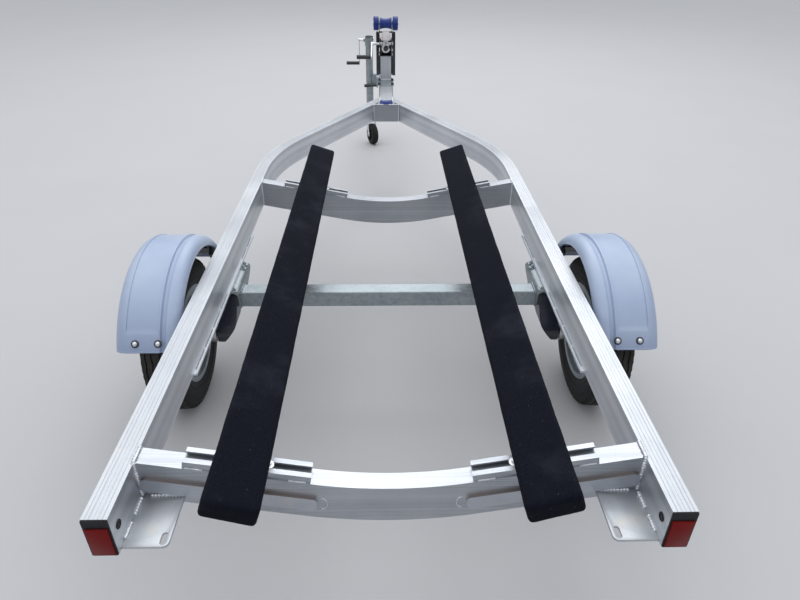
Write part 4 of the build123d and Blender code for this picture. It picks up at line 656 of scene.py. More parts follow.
NODE_FINISHES = {
    "rear_cross_member": "cross_aluminium",
    "front_cross_member": "cross_aluminium",
    "rear_stiffener_bars": "bar_aluminium",
    "bunk_tracks": "cross_aluminium",
    "tongue": "tongue_aluminium",
    "lamp_plates": "plate_aluminium",
    "throat_plate": "throat_aluminium",
    "winch_post": "post_aluminium",
    "bow_roller_bracket": "black_paint",
    # The winch's gear and drum get darkened zinc: painted shade.
    "winch_gear": "shaded_zinc",
    "winch_drum": "shaded_zinc",
}


class Paints:
    """The finished materials, each made once, when it is first asked for."""

    def __init__(self) -> None:
        """Starts with no material made."""
        self.made: dict[str, bpy.types.Material] = {}

    def get(self, name: str) -> bpy.types.Material:
        """Makes a material, or finds it if it is already made.

        Args:
            name: The finish's name.

        Returns:
            The material.
        """
        if name not in self.made:
            self.made[name] = FINISHES[name].paint()
        return self.made[name]

    def dress_nodes(self) -> None:
        """Puts a finish on every CAD node, by its own name or its slot in the record."""
        for part in frame["record"]["subparts"]:
            name = NODE_FINISHES.get(part["node"], part["material_slot"])
            mesh = frame["nodes"][part["node"]].data
            mesh.materials.clear()
            mesh.materials.append(self.get(name))


PAINTS = Paints()
# The slot in the record for each finish that has no slot of its own name.
SLOTS = {"weld_bead": "rail_aluminium", "plate_aluminium": "rail_aluminium", "shaded_zinc": "zinc_plate"}


# Making shapes


def aimed(foot: Point, direction: Point) -> Matrix:
    """Returns a place at a foot whose +Z points along a direction."""
    return Matrix.Translation(foot) @ Vector(direction).to_track_quat("Z", "Y").to_matrix().to_4x4()


def arc(centre: Spot, radii: Spot, start: float, end: float, steps: int) -> list[Spot]:
    """Samples part of an ellipse for an outline.

    Args:
        centre: The ellipse's centre.
        radii: Its half widths.
        start: The first angle, in degrees.
        end: The last angle, in degrees.
        steps: How many steps lie between them.

    Returns:
        The points.
    """
    angles = [math.radians(start + (end - start) * index / steps) for index in range(steps + 1)]
    return [(centre[0] + radii[0] * math.cos(a), centre[1] + radii[1] * math.sin(a)) for a in angles]


def doubled(half: Sequence[Spot]) -> list[Spot]:
    """Mirrors half a roller's outline about its middle.

    Args:
        half: (distance from the middle, radius) of each point, from the middle out.

    Returns:
        (radius, height) of each point from one end to the other.
    """
    return [(radius, -away) for away, radius in half[::-1]] + [(radius, away) for away, radius in half[1:]]


def vertices_of(made: Iterable[object]) -> list[bmesh.types.BMVert]:
    """Returns the vertices among what a mesh operator made."""
    return [item for item in made if isinstance(item, bmesh.types.BMVert)]


def ring_edges(ring: Sequence[bmesh.types.BMVert]) -> list[bmesh.types.BMEdge]:
    """Finds the edges that join the vertices of a ring.

    Args:
        ring: The vertices.

    Returns:
        The edges, in the same order each run.
    """
    members = set(ring)
    edges = dict.fromkeys(edge for vertex in ring for edge in vertex.link_edges)
    return [edge for edge in edges if all(vertex in members for vertex in edge.verts)]


def show(name: str, data: bpy.types.ID) -> bpy.types.Object:
    """Puts a new object into the scene.

    Args:
        name: Its name.
        data: Its mesh, lamp or camera.

    Returns:
        The object.
    """
    thing = bpy.data.objects.new(name, data)
    bpy.context.scene.collection.objects.link(thing)
    return thing


class Shape:
    """A piece under construction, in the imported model's frame."""

    def __init__(self) -> None:
        """Starts with an empty mesh."""
        self.mesh = bmesh.new()

    def face_out(self) -> None:
        """Turns every face outwards."""
        bmesh.ops.recalc_face_normals(self.mesh, faces=list(self.mesh.faces))

    def bridge(self, rings: Sequence[list[bmesh.types.BMEdge]], closed: bool = False) -> None:
        """Joins neighbouring rings or rows of edges with faces.

        Args:
            rings: The edges of each ring.
            closed: Whether the last ring joins the first.
        """
        pairs = list(zip(rings, rings[1:])) + ([(rings[-1], rings[0])] if closed else [])
        for first, second in pairs:
            bmesh.ops.bridge_loops(self.mesh, edges=first + second)

    def raise_faces(self, faces: Sequence[bmesh.types.BMFace], rise: Point) -> list[bmesh.types.BMVert]:
        """Makes faces the underside of a solid.

        Args:
            faces: The faces.
            rise: The way to its other side.

        Returns:
            The vertices of the other side.
        """
        top = vertices_of(bmesh.ops.extrude_face_region(self.mesh, geom=faces)["geom"])
        bmesh.ops.translate(self.mesh, vec=rise, verts=top)
        return top

    def soften(self, made: Iterable[bmesh.types.BMVert], width: float, segments: int = 2,
               angle: float = math.radians(35)) -> None:
        """Bevels the sharp edges among some vertices.

        Args:
            made: The vertices.
            width: The width of the bevel.
            segments: How many faces it has.
            angle: The least turn between two faces that counts as sharp.
        """
        near = dict.fromkeys(edge for vertex in made for edge in vertex.link_edges)
        edges = [edge for edge in near if edge.is_manifold and edge.calc_face_angle(0.0) > angle]
        bmesh.ops.bevel(self.mesh, geom=edges, offset=width, segments=segments, profile=0.5,
                        affect="EDGES", material=-1, clamp_overlap=True)

    def block(self, low: Point, high: Point, softened: float = 0.0, place: Matrix = Matrix()) -> None:
        """Adds a block between two corners.

        Args:
            low: One corner.
            high: The opposite corner.
            softened: The width of its bevelled edges.
            place: The frame that the corners are in.
        """
        size = Vector(high) - Vector(low)
        middle = (Vector(high) + Vector(low)) / 2
        matrix = place @ Matrix.Translation(middle) @ Matrix.Diagonal((*(abs(v) for v in size), 1.0))
        made = bmesh.ops.create_cube(self.mesh, size=1.0, matrix=matrix)["verts"]
        if softened:
            self.soften(made, softened)

    def drum(self, place: Matrix, length: float, radius: float, top: float | None = None,
             sides: int = 24, softened: float = 0.0) -> None:
        """Adds a drum that stands on a place's origin along its +Z.

        Args:
            place: Where it stands.
            length: Its length.
            radius: Its radius at the foot.
            top: Its radius at the far end, if that differs.
            sides: How many sides it has.
            softened: The width of its bevelled rims.
        """
        matrix = place @ Matrix.Translation((0.0, 0.0, length / 2))
        made = bmesh.ops.create_cone(self.mesh, cap_ends=True, segments=sides, radius1=radius,
                                     radius2=radius if top is None else top, depth=length,
                                     matrix=matrix)["verts"]
        if softened:
            self.soften(made, softened, angle=math.radians(62))

    def lathe(self, profile: Sequence[Spot], place: Matrix, steps: int = 32, closed: bool = False,
              softened: float = 0.0) -> list[bmesh.types.BMVert]:
        """Turns an outline fully about a place's +Z.

        Args:
            profile: (radius, height) of each point of the outline.
            place: Where the axis stands.
            steps: How many faces the turn has.
            closed: Whether the outline's last point joins its first.
            softened: The width of its bevelled rims.

        Returns:
            The new vertices, unless they are bevelled.
        """
        old = set(self.mesh.verts)
        points = [self.mesh.verts.new((radius, 0.0, height)) for radius, height in profile]
        pairs = list(zip(points, points[1:])) + ([(points[-1], points[0])] if closed else [])
        edges = [self.mesh.edges.new(pair) for pair in pairs]
        bmesh.ops.spin(self.mesh, geom=points + edges, cent=(0, 0, 0), axis=(0, 0, 1), dvec=(0, 0, 0),
                       angle=math.tau, steps=steps, use_merge=True, use_duplicate=False)
        made = [vertex for vertex in self.mesh.verts if vertex not in old]
        bmesh.ops.remove_doubles(self.mesh, verts=made, dist=1e-6)
        made = [vertex for vertex in self.mesh.verts if vertex not in old]
        faces = list(dict.fromkeys(face for vertex in made for face in vertex.link_faces))
        bmesh.ops.recalc_face_normals(self.mesh, faces=faces)
        bmesh.ops.transform(self.mesh, matrix=place, verts=made)
        if softened:
            self.soften(made, softened)
        return made

    def plate(self, outline: Sequence[Point], rise: Point, softened: float = 0.0) -> None:
        """Raises a flat plate from an outline.

        Args:
            outline: The corners of one face.
            rise: The way to the other face.
            softened: The width of its bevelled edges.
        """
        base = [self.mesh.verts.new(point) for point in outline]
        top = self.raise_faces([self.mesh.faces.new(base)], rise)
        faces = list(dict.fromkeys(face for vertex in base + top for face in vertex.link_faces))
        bmesh.ops.recalc_face_normals(self.mesh, faces=faces)
        if softened:
            self.soften(base + top, softened)

    def rod(self, path: Sequence[Point], radius: float, sides: int = 10, closed: bool = False) -> None:
        """Lays a round rod along a path.

        Args:
            path: The points that its middle line follows.
            radius: The rod's radius.
            sides: How many sides it has.
            closed: Whether its end joins its start.
        """
        old = set(self.mesh.faces)
        points = [Vector(point) for point in path]
        last = len(points) - 1
        rings: list[list[bmesh.types.BMEdge]] = []
        for index, point in enumerate(points):
            ahead = points[(index + 1) % len(points)] if closed else points[min(index + 1, last)]
            behind = points[index - 1] if closed else points[max(index - 1, 0)]
            ring = bmesh.ops.create_circle(self.mesh, cap_ends=not closed and index in (0, last),
                                           radius=radius, segments=sides,
                                           matrix=aimed(point, ahead - behind))["verts"]
            rings.append(ring_edges(ring))
        self.bridge(rings, closed)
        bmesh.ops.recalc_face_normals(self.mesh, faces=[f for f in self.mesh.faces if f not in old])

    def finish(self, name: str, finish: str, body: str = "trailer", replaces: Sequence[str] = (),
               sharp: float = 35.0) -> bpy.types.Object:
        """Makes the piece's object, paints it and sets it on its body.

        Args:
            name: The piece's name.
            finish: The name of its finish.
            body: The body that it rides on.
            replaces: The CAD nodes that it stands for.
            sharp: The least turn in degrees between faces that stays a hard edge.

        Returns:
            The object.
        """
        mesh = bpy.data.meshes.new(name)
        self.mesh.to_mesh(mesh)
        self.mesh.free()
        mesh.shade_smooth()
        mesh.set_sharp_from_angle(angle=math.radians(sharp))
        mesh.materials.append(PAINTS.get(finish))
        thing = show(name, mesh)
        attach(thing, body)
        SLOTS.get(finish, finish)
        if replaces:
            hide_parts(*replaces)
        return thing


@dataclass(frozen=True)
class HexBolt:
    """A hex head or nut on its washer, with the stud's end if it shows."""

    across: float = 0.013
    head: float = 0.0055
    washer: float = 0.0024
    stud: float = 0.0

    def fit(self, shape: Shape, foot: Point, direction: Point, turn: float = 0.0) -> None:
        """Adds the bolt.

        Args:
            shape: The piece that it is added to.
            foot: The middle of its washer's lower face.
            direction: The way that it points.
            turn: How far its flats are turned.
        """
        place = aimed(foot, direction) @ Matrix.Rotation(turn, 4, "Z")
        shape.drum(place, self.washer, self.across * 0.98, sides=28, softened=0.0005)
        on_washer = place @ Matrix.Translation((0.0, 0.0, self.washer))
        shape.drum(on_washer, self.head, self.across / math.sqrt(3), sides=6, softened=0.0007)
        if self.stud:
            on_head = on_washer @ Matrix.Translation((0.0, 0.0, self.head))
            shape.drum(on_head, self.stud, self.across * 0.31, self.across * 0.25, sides=16,
                       softened=0.0005)


# Bunks


@dataclass
class Bunks:
    """Two boards wrapped in carpet, each with its inner edge lower and its seam underneath."""

    middle_x: float = 0.307
    middle_z: float = 0.515
    width: float = 0.112
    thickness: float = 0.050
    start: float = -5.0
    length: float = 2.085
    tilt: float = math.radians(18.5)
    corner: float = 0.0100
    cell: float = 0.005
    nap: float = 0.00042
    swell: float = 0.0007
    flap: Spot = (-0.030, 0.012)
    flap_inset: float = 0.012
    staples: int = 26
    staple_start: float = 0.035
    staple_pitch: float = 0.0805
    staple_rows: Spot = (0.004, -0.021)
    staple_half: Spot = (0.006, 0.0006)

    def frame_of(self, side: Side) -> Matrix:
        """Works out a bunk's own axes, which run across, along and up from the middle of its rear end.

        Args:
            side: The side that the bunk lies on.

        Returns:
            The axes.
        """
        across = Vector((side.value * math.cos(self.tilt), 0.0, math.sin(self.tilt)))
        up = Vector((-side.value * math.sin(self.tilt), 0.0, math.cos(self.tilt)))
        along = Vector((0.0, 1.0, 0.0))
        middle = Vector((side.value * self.middle_x, station(self.start), self.middle_z))
        return Matrix.Translation(middle) @ Matrix((across, along, up)).transposed().to_4x4()

    def rounded(self, point: Vector) -> Vector:
        """Works out where a point of the plain board lies once the board's corners are rounded.

        Args:
            point: The point, from the board's middle.

        Returns:
            The point on the rounded board.
        """
        half = Vector((self.width / 2, self.length / 2, self.thickness / 2))
        core = Vector([max(self.corner - size, min(size - self.corner, value))
                       for value, size in zip(point, half)])
        away = point - core
        return core + away.normalized() * self.corner if away.length > 1e-9 else point

    def wrap_board(self, side: Side) -> None:
        """Makes one carpeted board.

        Args:
            side: The side that it lies on.
        """
        shape = Shape()
        size = (self.width, self.length, self.thickness)
        bmesh.ops.create_cube(shape.mesh, size=1.0, matrix=Matrix.Diagonal((*size, 1.0)))
        for axis, cell in ((0, self.cell), (2, self.cell), (1, self.cell * 1.4)):
            edges = [e for e in shape.mesh.edges
                     if abs(e.verts[0].co[axis] - e.verts[1].co[axis]) > size[axis] * 0.99]
            bmesh.ops.subdivide_edges(shape.mesh, edges=edges, cuts=round(size[axis] / cell) - 1,
                                      use_grid_fill=True)
        for vertex in shape.mesh.verts:
            vertex.co = self.rounded(vertex.co)
        shape.face_out()
        for vertex in shape.mesh.verts:
            spot = vertex.co + Vector((side.value * 3.0, 0.0, 0.0))
            pile = noise.noise(spot * 420.0) * self.nap
            swell = noise.noise(spot * 14.0) * self.swell * (1.0 if vertex.normal.z > -0.5 else 0.0)
            vertex.co += vertex.normal * (pile + swell)
        place = self.frame_of(side) @ Matrix.Translation((0.0, self.length / 2, 0.0))
        bmesh.ops.transform(shape.mesh, matrix=place, verts=list(shape.mesh.verts))
        shape.face_out()
        shape.finish(f"bunk_board_{side.word}", "bunk_carpet", replaces=[f"bunk_{side.word}"],
                     sharp=70.0)

    def close_seam(self, side: Side) -> None:
        """Lays the carpet's lapped seam and its staples along the underside.

        Args:
            side: The side that the board lies on.
        """
        place = self.frame_of(side)
        under = -self.thickness / 2
        flap = Shape()
        flap.block((self.flap[0], self.flap_inset, under - 0.0016),
                   (self.flap[1], self.length - self.flap_inset, under + 0.001), 0.0007, place)
        flap.finish(f"bunk_seam_{side.word}", "bunk_carpet")
        staples = Shape()
        reach, wire = self.staple_half
        for index in range(self.staples):
            along = self.staple_start + index * self.staple_pitch
            offset = self.staple_rows[index % 2]
            staples.block((offset - reach, along - wire, under - 0.0024),
                          (offset + reach, along + wire, under - 0.0012), 0.0, place)
        staples.finish(f"bunk_staples_{side.word}", "zinc_plate")

    def build(self) -> None:
        """Makes both bunks."""
        for side in Side:
            self.wrap_board(side)
            self.close_seam(side)


# Wheels and fenders


@dataclass
class Wheels:
    """The road wheels: treaded tyres on galvanised rims, with their nuts, valves and rolled flanges."""

    x: float = TYRE_X
    y: float = station(965.0)
    radius: float = 0.256
    steps: int = 180
    groove_wave: float = 0.0016
    wave_steps: int = 6
    stud_circle: float = 0.05715
    disc_face: float = 0.0172
    flange_radius: float = 0.1645
    flange_x: float = 0.0495
    flange_bead: float = 0.0021
    disc_weld: Spot = (0.1235, 0.0135)
    disc_bead: float = 0.0032
    grooves: Spot = (0.009, 0.034)
    tread_radius: float = 0.2495
    pocket_radii: Spot = (0.2415, 0.2530)
    pocket_edge: float = 0.0450
    studs: int = 4
    nut_radius: float = 0.0112
    nut_cone: float = 0.004
    nut_height: float = 0.011
    valve_foot: Spot = (0.020, 0.1300)

    def half_section(self) -> list[Spot]:
        """Draws half of the tyre's section, from the crown out, in and back under it.

        Returns:
            (radius, distance from the middle plane) of each point.
        """
        crown = [(0.2560, 0.0), (0.2558, 0.0095), (0.2508, 0.0105), (0.2507, 0.0135), (0.2556, 0.0145)]
        ribs = [(0.2550, 0.0285), (0.2502, 0.0295), (0.2499, 0.0325), (0.2546, 0.0335)]
        shoulder = [(0.2532, 0.0440), (0.2515, 0.0470), (0.2478, 0.0492), (0.2400, 0.0518)]
        upper = [(0.2300, 0.0550), (0.2266, 0.0560), (0.2262, 0.0573), (0.2240, 0.0575), (0.2236, 0.0567)]
        waist = [(0.2150, 0.0584), (0.2050, 0.0590), (0.1950, 0.0583), (0.1916, 0.0577), (0.1911, 0.0587)]
        lower = [(0.1882, 0.0585), (0.1877, 0.0568), (0.1800, 0.0545), (0.1725, 0.0515), (0.1690, 0.0503)]
        bead = [(0.1672, 0.0490), (0.1664, 0.0474), (0.1560, 0.0470), (0.1534, 0.0455), (0.1534, 0.0380)]
        lining = [(0.1600, 0.0360), (0.1800, 0.0440), (0.2050, 0.0480), (0.2300, 0.0440), (0.2430, 0.0330),
                  (0.2450, 0.0)]
        return crown + ribs + shoulder + upper + waist + lower + bead + lining

    def mould_tyre(self, side: Side) -> None:
        """Makes one tyre.

        Args:
            side: The side that it is on.
        """
        shape = Shape()
        half = self.half_section()
        section = half + [(radius, -away) for radius, away in half[-2:0:-1]]
        shape.lathe(section, Matrix(), self.steps, closed=True)
        step = math.tau / self.steps
        for vertex in shape.mesh.verts:
            radius = math.hypot(vertex.co.x, vertex.co.y)
            away = abs(vertex.co.z)
            if radius > self.tread_radius and self.grooves[0] < away < self.grooves[1]:
                turn = math.atan2(vertex.co.y, vertex.co.x) / step / self.wave_steps
                sway = 4.0 * abs(turn - math.floor(turn + 0.5)) - 1.0
                vertex.co.z += self.groove_wave * sway * (1.0 if vertex.co.z > 0 else -1.0)
        self.press_pockets(shape)
        place = aimed((side.value * self.x, self.y, self.radius), (side.value, 0.0, 0.0))
        bmesh.ops.transform(shape.mesh, matrix=place, verts=list(shape.mesh.verts))
        shape.finish(f"tyre_tread_{side.word}", "tyre_rubber", f"wheel_{side.word}",
                     [f"tyre_{side.word}"], sharp=28.0)

    def press_pockets(self, shape: Shape) -> None:
        """Presses pockets into the tread's shoulders, and leaves a bar at every third step round the tyre.

        Args:
            shape: The tyre.
        """
        low, high = self.pocket_radii
        pockets = []
        for face in shape.mesh.faces:
            middle = face.calc_center_median()
            radius = math.hypot(middle.x, middle.y)
            number = round((math.atan2(middle.y, middle.x) % math.tau) / math.tau * self.steps - 0.5)
            if number % 3 and low < radius < high and abs(middle.z) > self.pocket_edge:
                pockets.append(face)
        bmesh.ops.inset_region(shape.mesh, faces=pockets, thickness=0.0009, depth=-0.0022,
                               use_even_offset=True)

    def trim_rim(self, side: Side) -> None:
        """Adds the rim's rolled flanges, weld ring, nuts and valve.

        Args:
            side: The side that the wheel is on.
        """
        out = side.value
        middle = Vector((out * self.x, self.y, self.radius))
        rings = Shape()
        spots = ((self.flange_radius, -self.flange_x, self.flange_bead),
                 (self.flange_radius, self.flange_x, self.flange_bead), (*self.disc_weld, self.disc_bead))
        for ring, offset, bead in spots:
            circle = arc((0.0, 0.0), (bead, bead), 0, 330, 11)
            profile = [(ring + radius, offset + away) for radius, away in circle]
            rings.lathe(profile, aimed(middle, (out, 0.0, 0.0)), 96, closed=True)
        rings.finish(f"rim_edges_{side.word}", "galvanised_steel", f"wheel_{side.word}")
        nuts = Shape()
        for index in range(self.studs):
            angle = math.radians(45 + 360 / self.studs * index)
            foot = middle + Vector((out * self.disc_face, self.stud_circle * math.cos(angle),
                                    self.stud_circle * math.sin(angle)))
            place = aimed(foot, (out, 0.0, 0.0))
            nuts.drum(place, self.nut_cone, 0.0090, self.nut_radius, 24)
            nuts.drum(place @ Matrix.Translation((0, 0, self.nut_cone)), self.nut_height,
                      self.nut_radius, sides=6, softened=0.0009)
            nuts.lathe([(0.0088, 0.0), (0.0085, 0.003), (0.0070, 0.0062), (0.0040, 0.0082), (0.0, 0.0090)],
                       place @ Matrix.Translation((0, 0, self.nut_cone + self.nut_height)), 20)
        nuts.finish(f"wheel_nuts_{side.word}", "zinc_plate", f"wheel_{side.word}")
        valve = Shape()
        foot = middle + Vector((out * self.valve_foot[0], 0.0, self.valve_foot[1]))
        valve.lathe([(0.0, 0.0), (0.0062, 0.0), (0.0062, 0.004), (0.0042, 0.009), (0.0040, 0.022),
                     (0.0046, 0.0225), (0.0046, 0.031), (0.0030, 0.0325), (0.0, 0.0325)],
                    aimed(foot, (out, 0.0, -0.35)), 20)
        valve.finish(f"tyre_valve_{side.word}", "cap_plastic", f"wheel_{side.word}")

    def build(self) -> None:
        """Makes both wheels."""
        for side in Side:
            self.mould_tyre(side)
            self.trim_rim(side)


@dataclass
class Fenders:
    """Moulded fenders, bolted to brackets.

    Across the skin, from the inside out, lie a rounded shoulder, a channel, a narrow ridge, a panel
    that is sunk by recess and a second rounded shoulder. The corners are rounded and a lip runs round
    the whole edge. Angles are in degrees round the fender's centre, from the front.
    """

    y: float = station(958.0)
    z: float = 0.249
    radius: float = 0.343
    inner_x: float = 0.602
    outer_x: float = 0.797
    wall: float = 0.0036
    front: float = 24.0
    rear: float = 153.0
    steps: int = 112
    inner_shoulder: Spot = (0.034, 0.028)
    outer_shoulder: Spot = (0.055, 0.070)
    ridge_drop: float = 0.002
    channel: float = 0.018
    channel_depth: float = 0.0065
    flank: float = 0.004
    recess: float = 0.0032
    ridge: float = 0.0040
    ridge_angle: float = 82.5
    lip: float = 0.006
    corner: float = 0.034
    panel_ends: Spot = (40.0, 143.6)
    bolt_places: tuple[float, ...] = (0.658, 0.7225)
    bolt_angles: Spot = (34.0, 149.0)
    washer_radius: float = 0.0112
    washer_height: float = 0.0022
    lip_radius: float = 0.0026
    middle_x: float = 0.70

    def skin_line(self) -> list[Spot]:
        """Draws the line across the skin, from its inner lip to its outer lip.

        Returns:
            (x, radius) of each point.
        """
        inner_x = self.inner_x + self.inner_shoulder[0]
        outer_x = self.outer_x - self.outer_shoulder[0]
        ridge = self.radius - self.ridge_drop
        inner_r = ridge - self.inner_shoulder[1]
        outer_r = self.radius - self.outer_shoulder[1]
        floor = ridge - self.channel_depth
        line = [(self.inner_x, inner_r - self.lip), (self.inner_x, inner_r - self.lip / 2)]
        line += arc((inner_x, inner_r), self.inner_shoulder, 180, 90, 9)
        channel_x = inner_x + self.channel
        line += [(inner_x + self.flank * 0.3, ridge - 0.0006), (inner_x + self.flank * 0.9, floor + 0.0005),
                 (inner_x + self.flank * 1.3, floor), (channel_x - self.flank * 1.3, floor),
                 (channel_x - self.flank * 0.9, floor + 0.0005),
                 (channel_x - self.flank * 0.2, self.radius - 0.0006),
                 (channel_x + 0.001, self.radius), (channel_x + self.ridge, self.radius)]
        near, far = channel_x + self.ridge + 0.0012, outer_x + self.ridge * 1.5
        line += [(near + (far - near) * share, self.radius - self.recess)
                 for share in (0.0, 0.03, 0.35, 0.65, 0.97, 1.0)]
        line += arc((outer_x, outer_r), self.outer_shoulder, self.ridge_angle, 0, 14)
        return line + [(self.outer_x, outer_r - self.lip / 2), (self.outer_x, outer_r - self.lip)]

    def end_shift(self, travelled: float, total: float) -> float:
        """Returns how far in degrees an end's edge draws back near the fender's two borders.

        Args:
            travelled: The distance across the skin from its inner border.
            total: The skin's whole width.

        Returns:
            The angle.
        """
        inside = min(travelled, total - travelled)
        if inside >= self.corner:
            return 0.0
        short = self.corner - inside
        drawn = self.corner - math.sqrt(max(self.corner ** 2 - short ** 2, 0.0))
        return math.degrees(drawn / self.radius)

    def place_at(self, side: Side, x: float, radius: float, angle: float) -> Vector:
        """Returns the point at an x, a radius and an angle round the fender's centre."""
        turn = math.radians(angle)
        return Vector((side.value * x, self.y + radius * math.cos(turn), self.z + radius * math.sin(turn)))

    def mould_skin(self, side: Side) -> None:
        """Makes one fender.

        Args:
            side: The side that it is on.
        """
        shape = Shape()
        line = self.skin_line()
        widths = [0.0]
        for first, second in zip(line, line[1:]):
            widths.append(widths[-1] + math.dist(first, second))
        points = [shape.mesh.verts.new(self.place_at(side, x, radius, self.front))
                  for x, radius in line]
        edges = [shape.mesh.edges.new(pair) for pair in zip(points, points[1:])]
        bmesh.ops.spin(shape.mesh, geom=points + edges, cent=(0.0, self.y, self.z), axis=(1, 0, 0),
                       dvec=(0, 0, 0), angle=math.radians(self.rear - self.front), steps=self.steps,
                       use_merge=False, use_duplicate=False)
        borders: dict[int, list[tuple[float, Vector]]] = {0: [], len(line) - 1: []}
        ends: dict[str, list[tuple[int, Vector]]] = {"front": [], "rear": []}
        for vertex in shape.mesh.verts:
            offset = (vertex.co.y - self.y, vertex.co.z - self.z)
            radius = math.hypot(*offset)
            angle = math.degrees(math.atan2(offset[1], offset[0]))
            index = min(range(len(line)), key=lambda i: math.dist(line[i], (abs(vertex.co.x), radius)))
            share = (angle - self.front) / (self.rear - self.front)
            drawn = self.end_shift(widths[index], widths[-1])
            angle = self.front + drawn + share * (self.rear - self.front - 2 * drawn)
            in_panel = math.isclose(line[index][1], self.radius - self.recess)
            if in_panel and not self.panel_ends[0] < angle < self.panel_ends[1]:
                radius = self.radius
            vertex.co = self.place_at(side, abs(vertex.co.x), radius, angle)
            if index in borders:
                borders[index].append((angle, vertex.co.copy()))
            if share < 1e-4 or share > 1 - 1e-4:
                ends["front" if share < 0.5 else "rear"].append((index, vertex.co.copy()))
        shape.face_out()
        crown = max(shape.mesh.faces, key=lambda face: face.calc_center_median().z)
        if crown.normal.z < 0:
            bmesh.ops.reverse_faces(shape.mesh, faces=list(shape.mesh.faces))
        bmesh.ops.solidify(shape.mesh, geom=list(shape.mesh.faces), thickness=self.wall)
        inner, outer = (sorted(borders[key], key=lambda item: item[0]) for key in (0, len(line) - 1))
        front = [point for _, point in sorted(ends["front"], key=lambda item: item[0])]
        rear = [point for _, point in sorted(ends["rear"], key=lambda item: item[0])]
        loop = [point for _, point in inner][1:-1] + rear
        loop += [point for _, point in outer][-2:0:-1] + front[::-1]
        step = side.value * self.lip_radius
        inward = [point + Vector((-step if abs(point.x) > self.middle_x else step, 0, 0)) for point in loop]
        lip = Shape()
        lip.rod(inward, self.lip_radius, 8, closed=True)
        lip.finish(f"fender_lip_{side.word}", "fender_plastic", sharp=60.0)
        shape.finish(f"fender_skin_{side.word}", "fender_plastic", replaces=[f"fender_{side.word}"],
                     sharp=50.0)

    def fit_bolts(self, side: Side) -> None:
        """Adds the domed bolts with their rubber washers.

        Args:
            side: The side that they are on.
        """
        heads, washers = Shape(), Shape()
        for angle in self.bolt_angles:
            for x in self.bolt_places:
                foot = self.place_at(side, x, self.radius - 0.0002, angle)
                way = self.place_at(side, x, self.radius + 0.1, angle) - foot
                place = aimed(foot, way)
                washers.drum(place, self.washer_height, self.washer_radius, sides=28, softened=0.0006)
                cap = place @ Matrix.Translation((0.0, 0.0, self.washer_height))
                heads.lathe([(0.0, 0.0), (0.0074, 0.0), (0.0074, 0.0012), (0.0066, 0.0032),
                             (0.0045, 0.0048), (0.0, 0.0056)], cap, 24)
        heads.finish(f"fender_bolts_{side.word}", "zinc_plate")
        washers.finish(f"fender_washers_{side.word}", "grip_plastic")

    def build(self) -> None:
        """Makes both fenders."""
        for side in Side:
            self.mould_skin(side)
            self.fit_bolts(side)


# Frame details


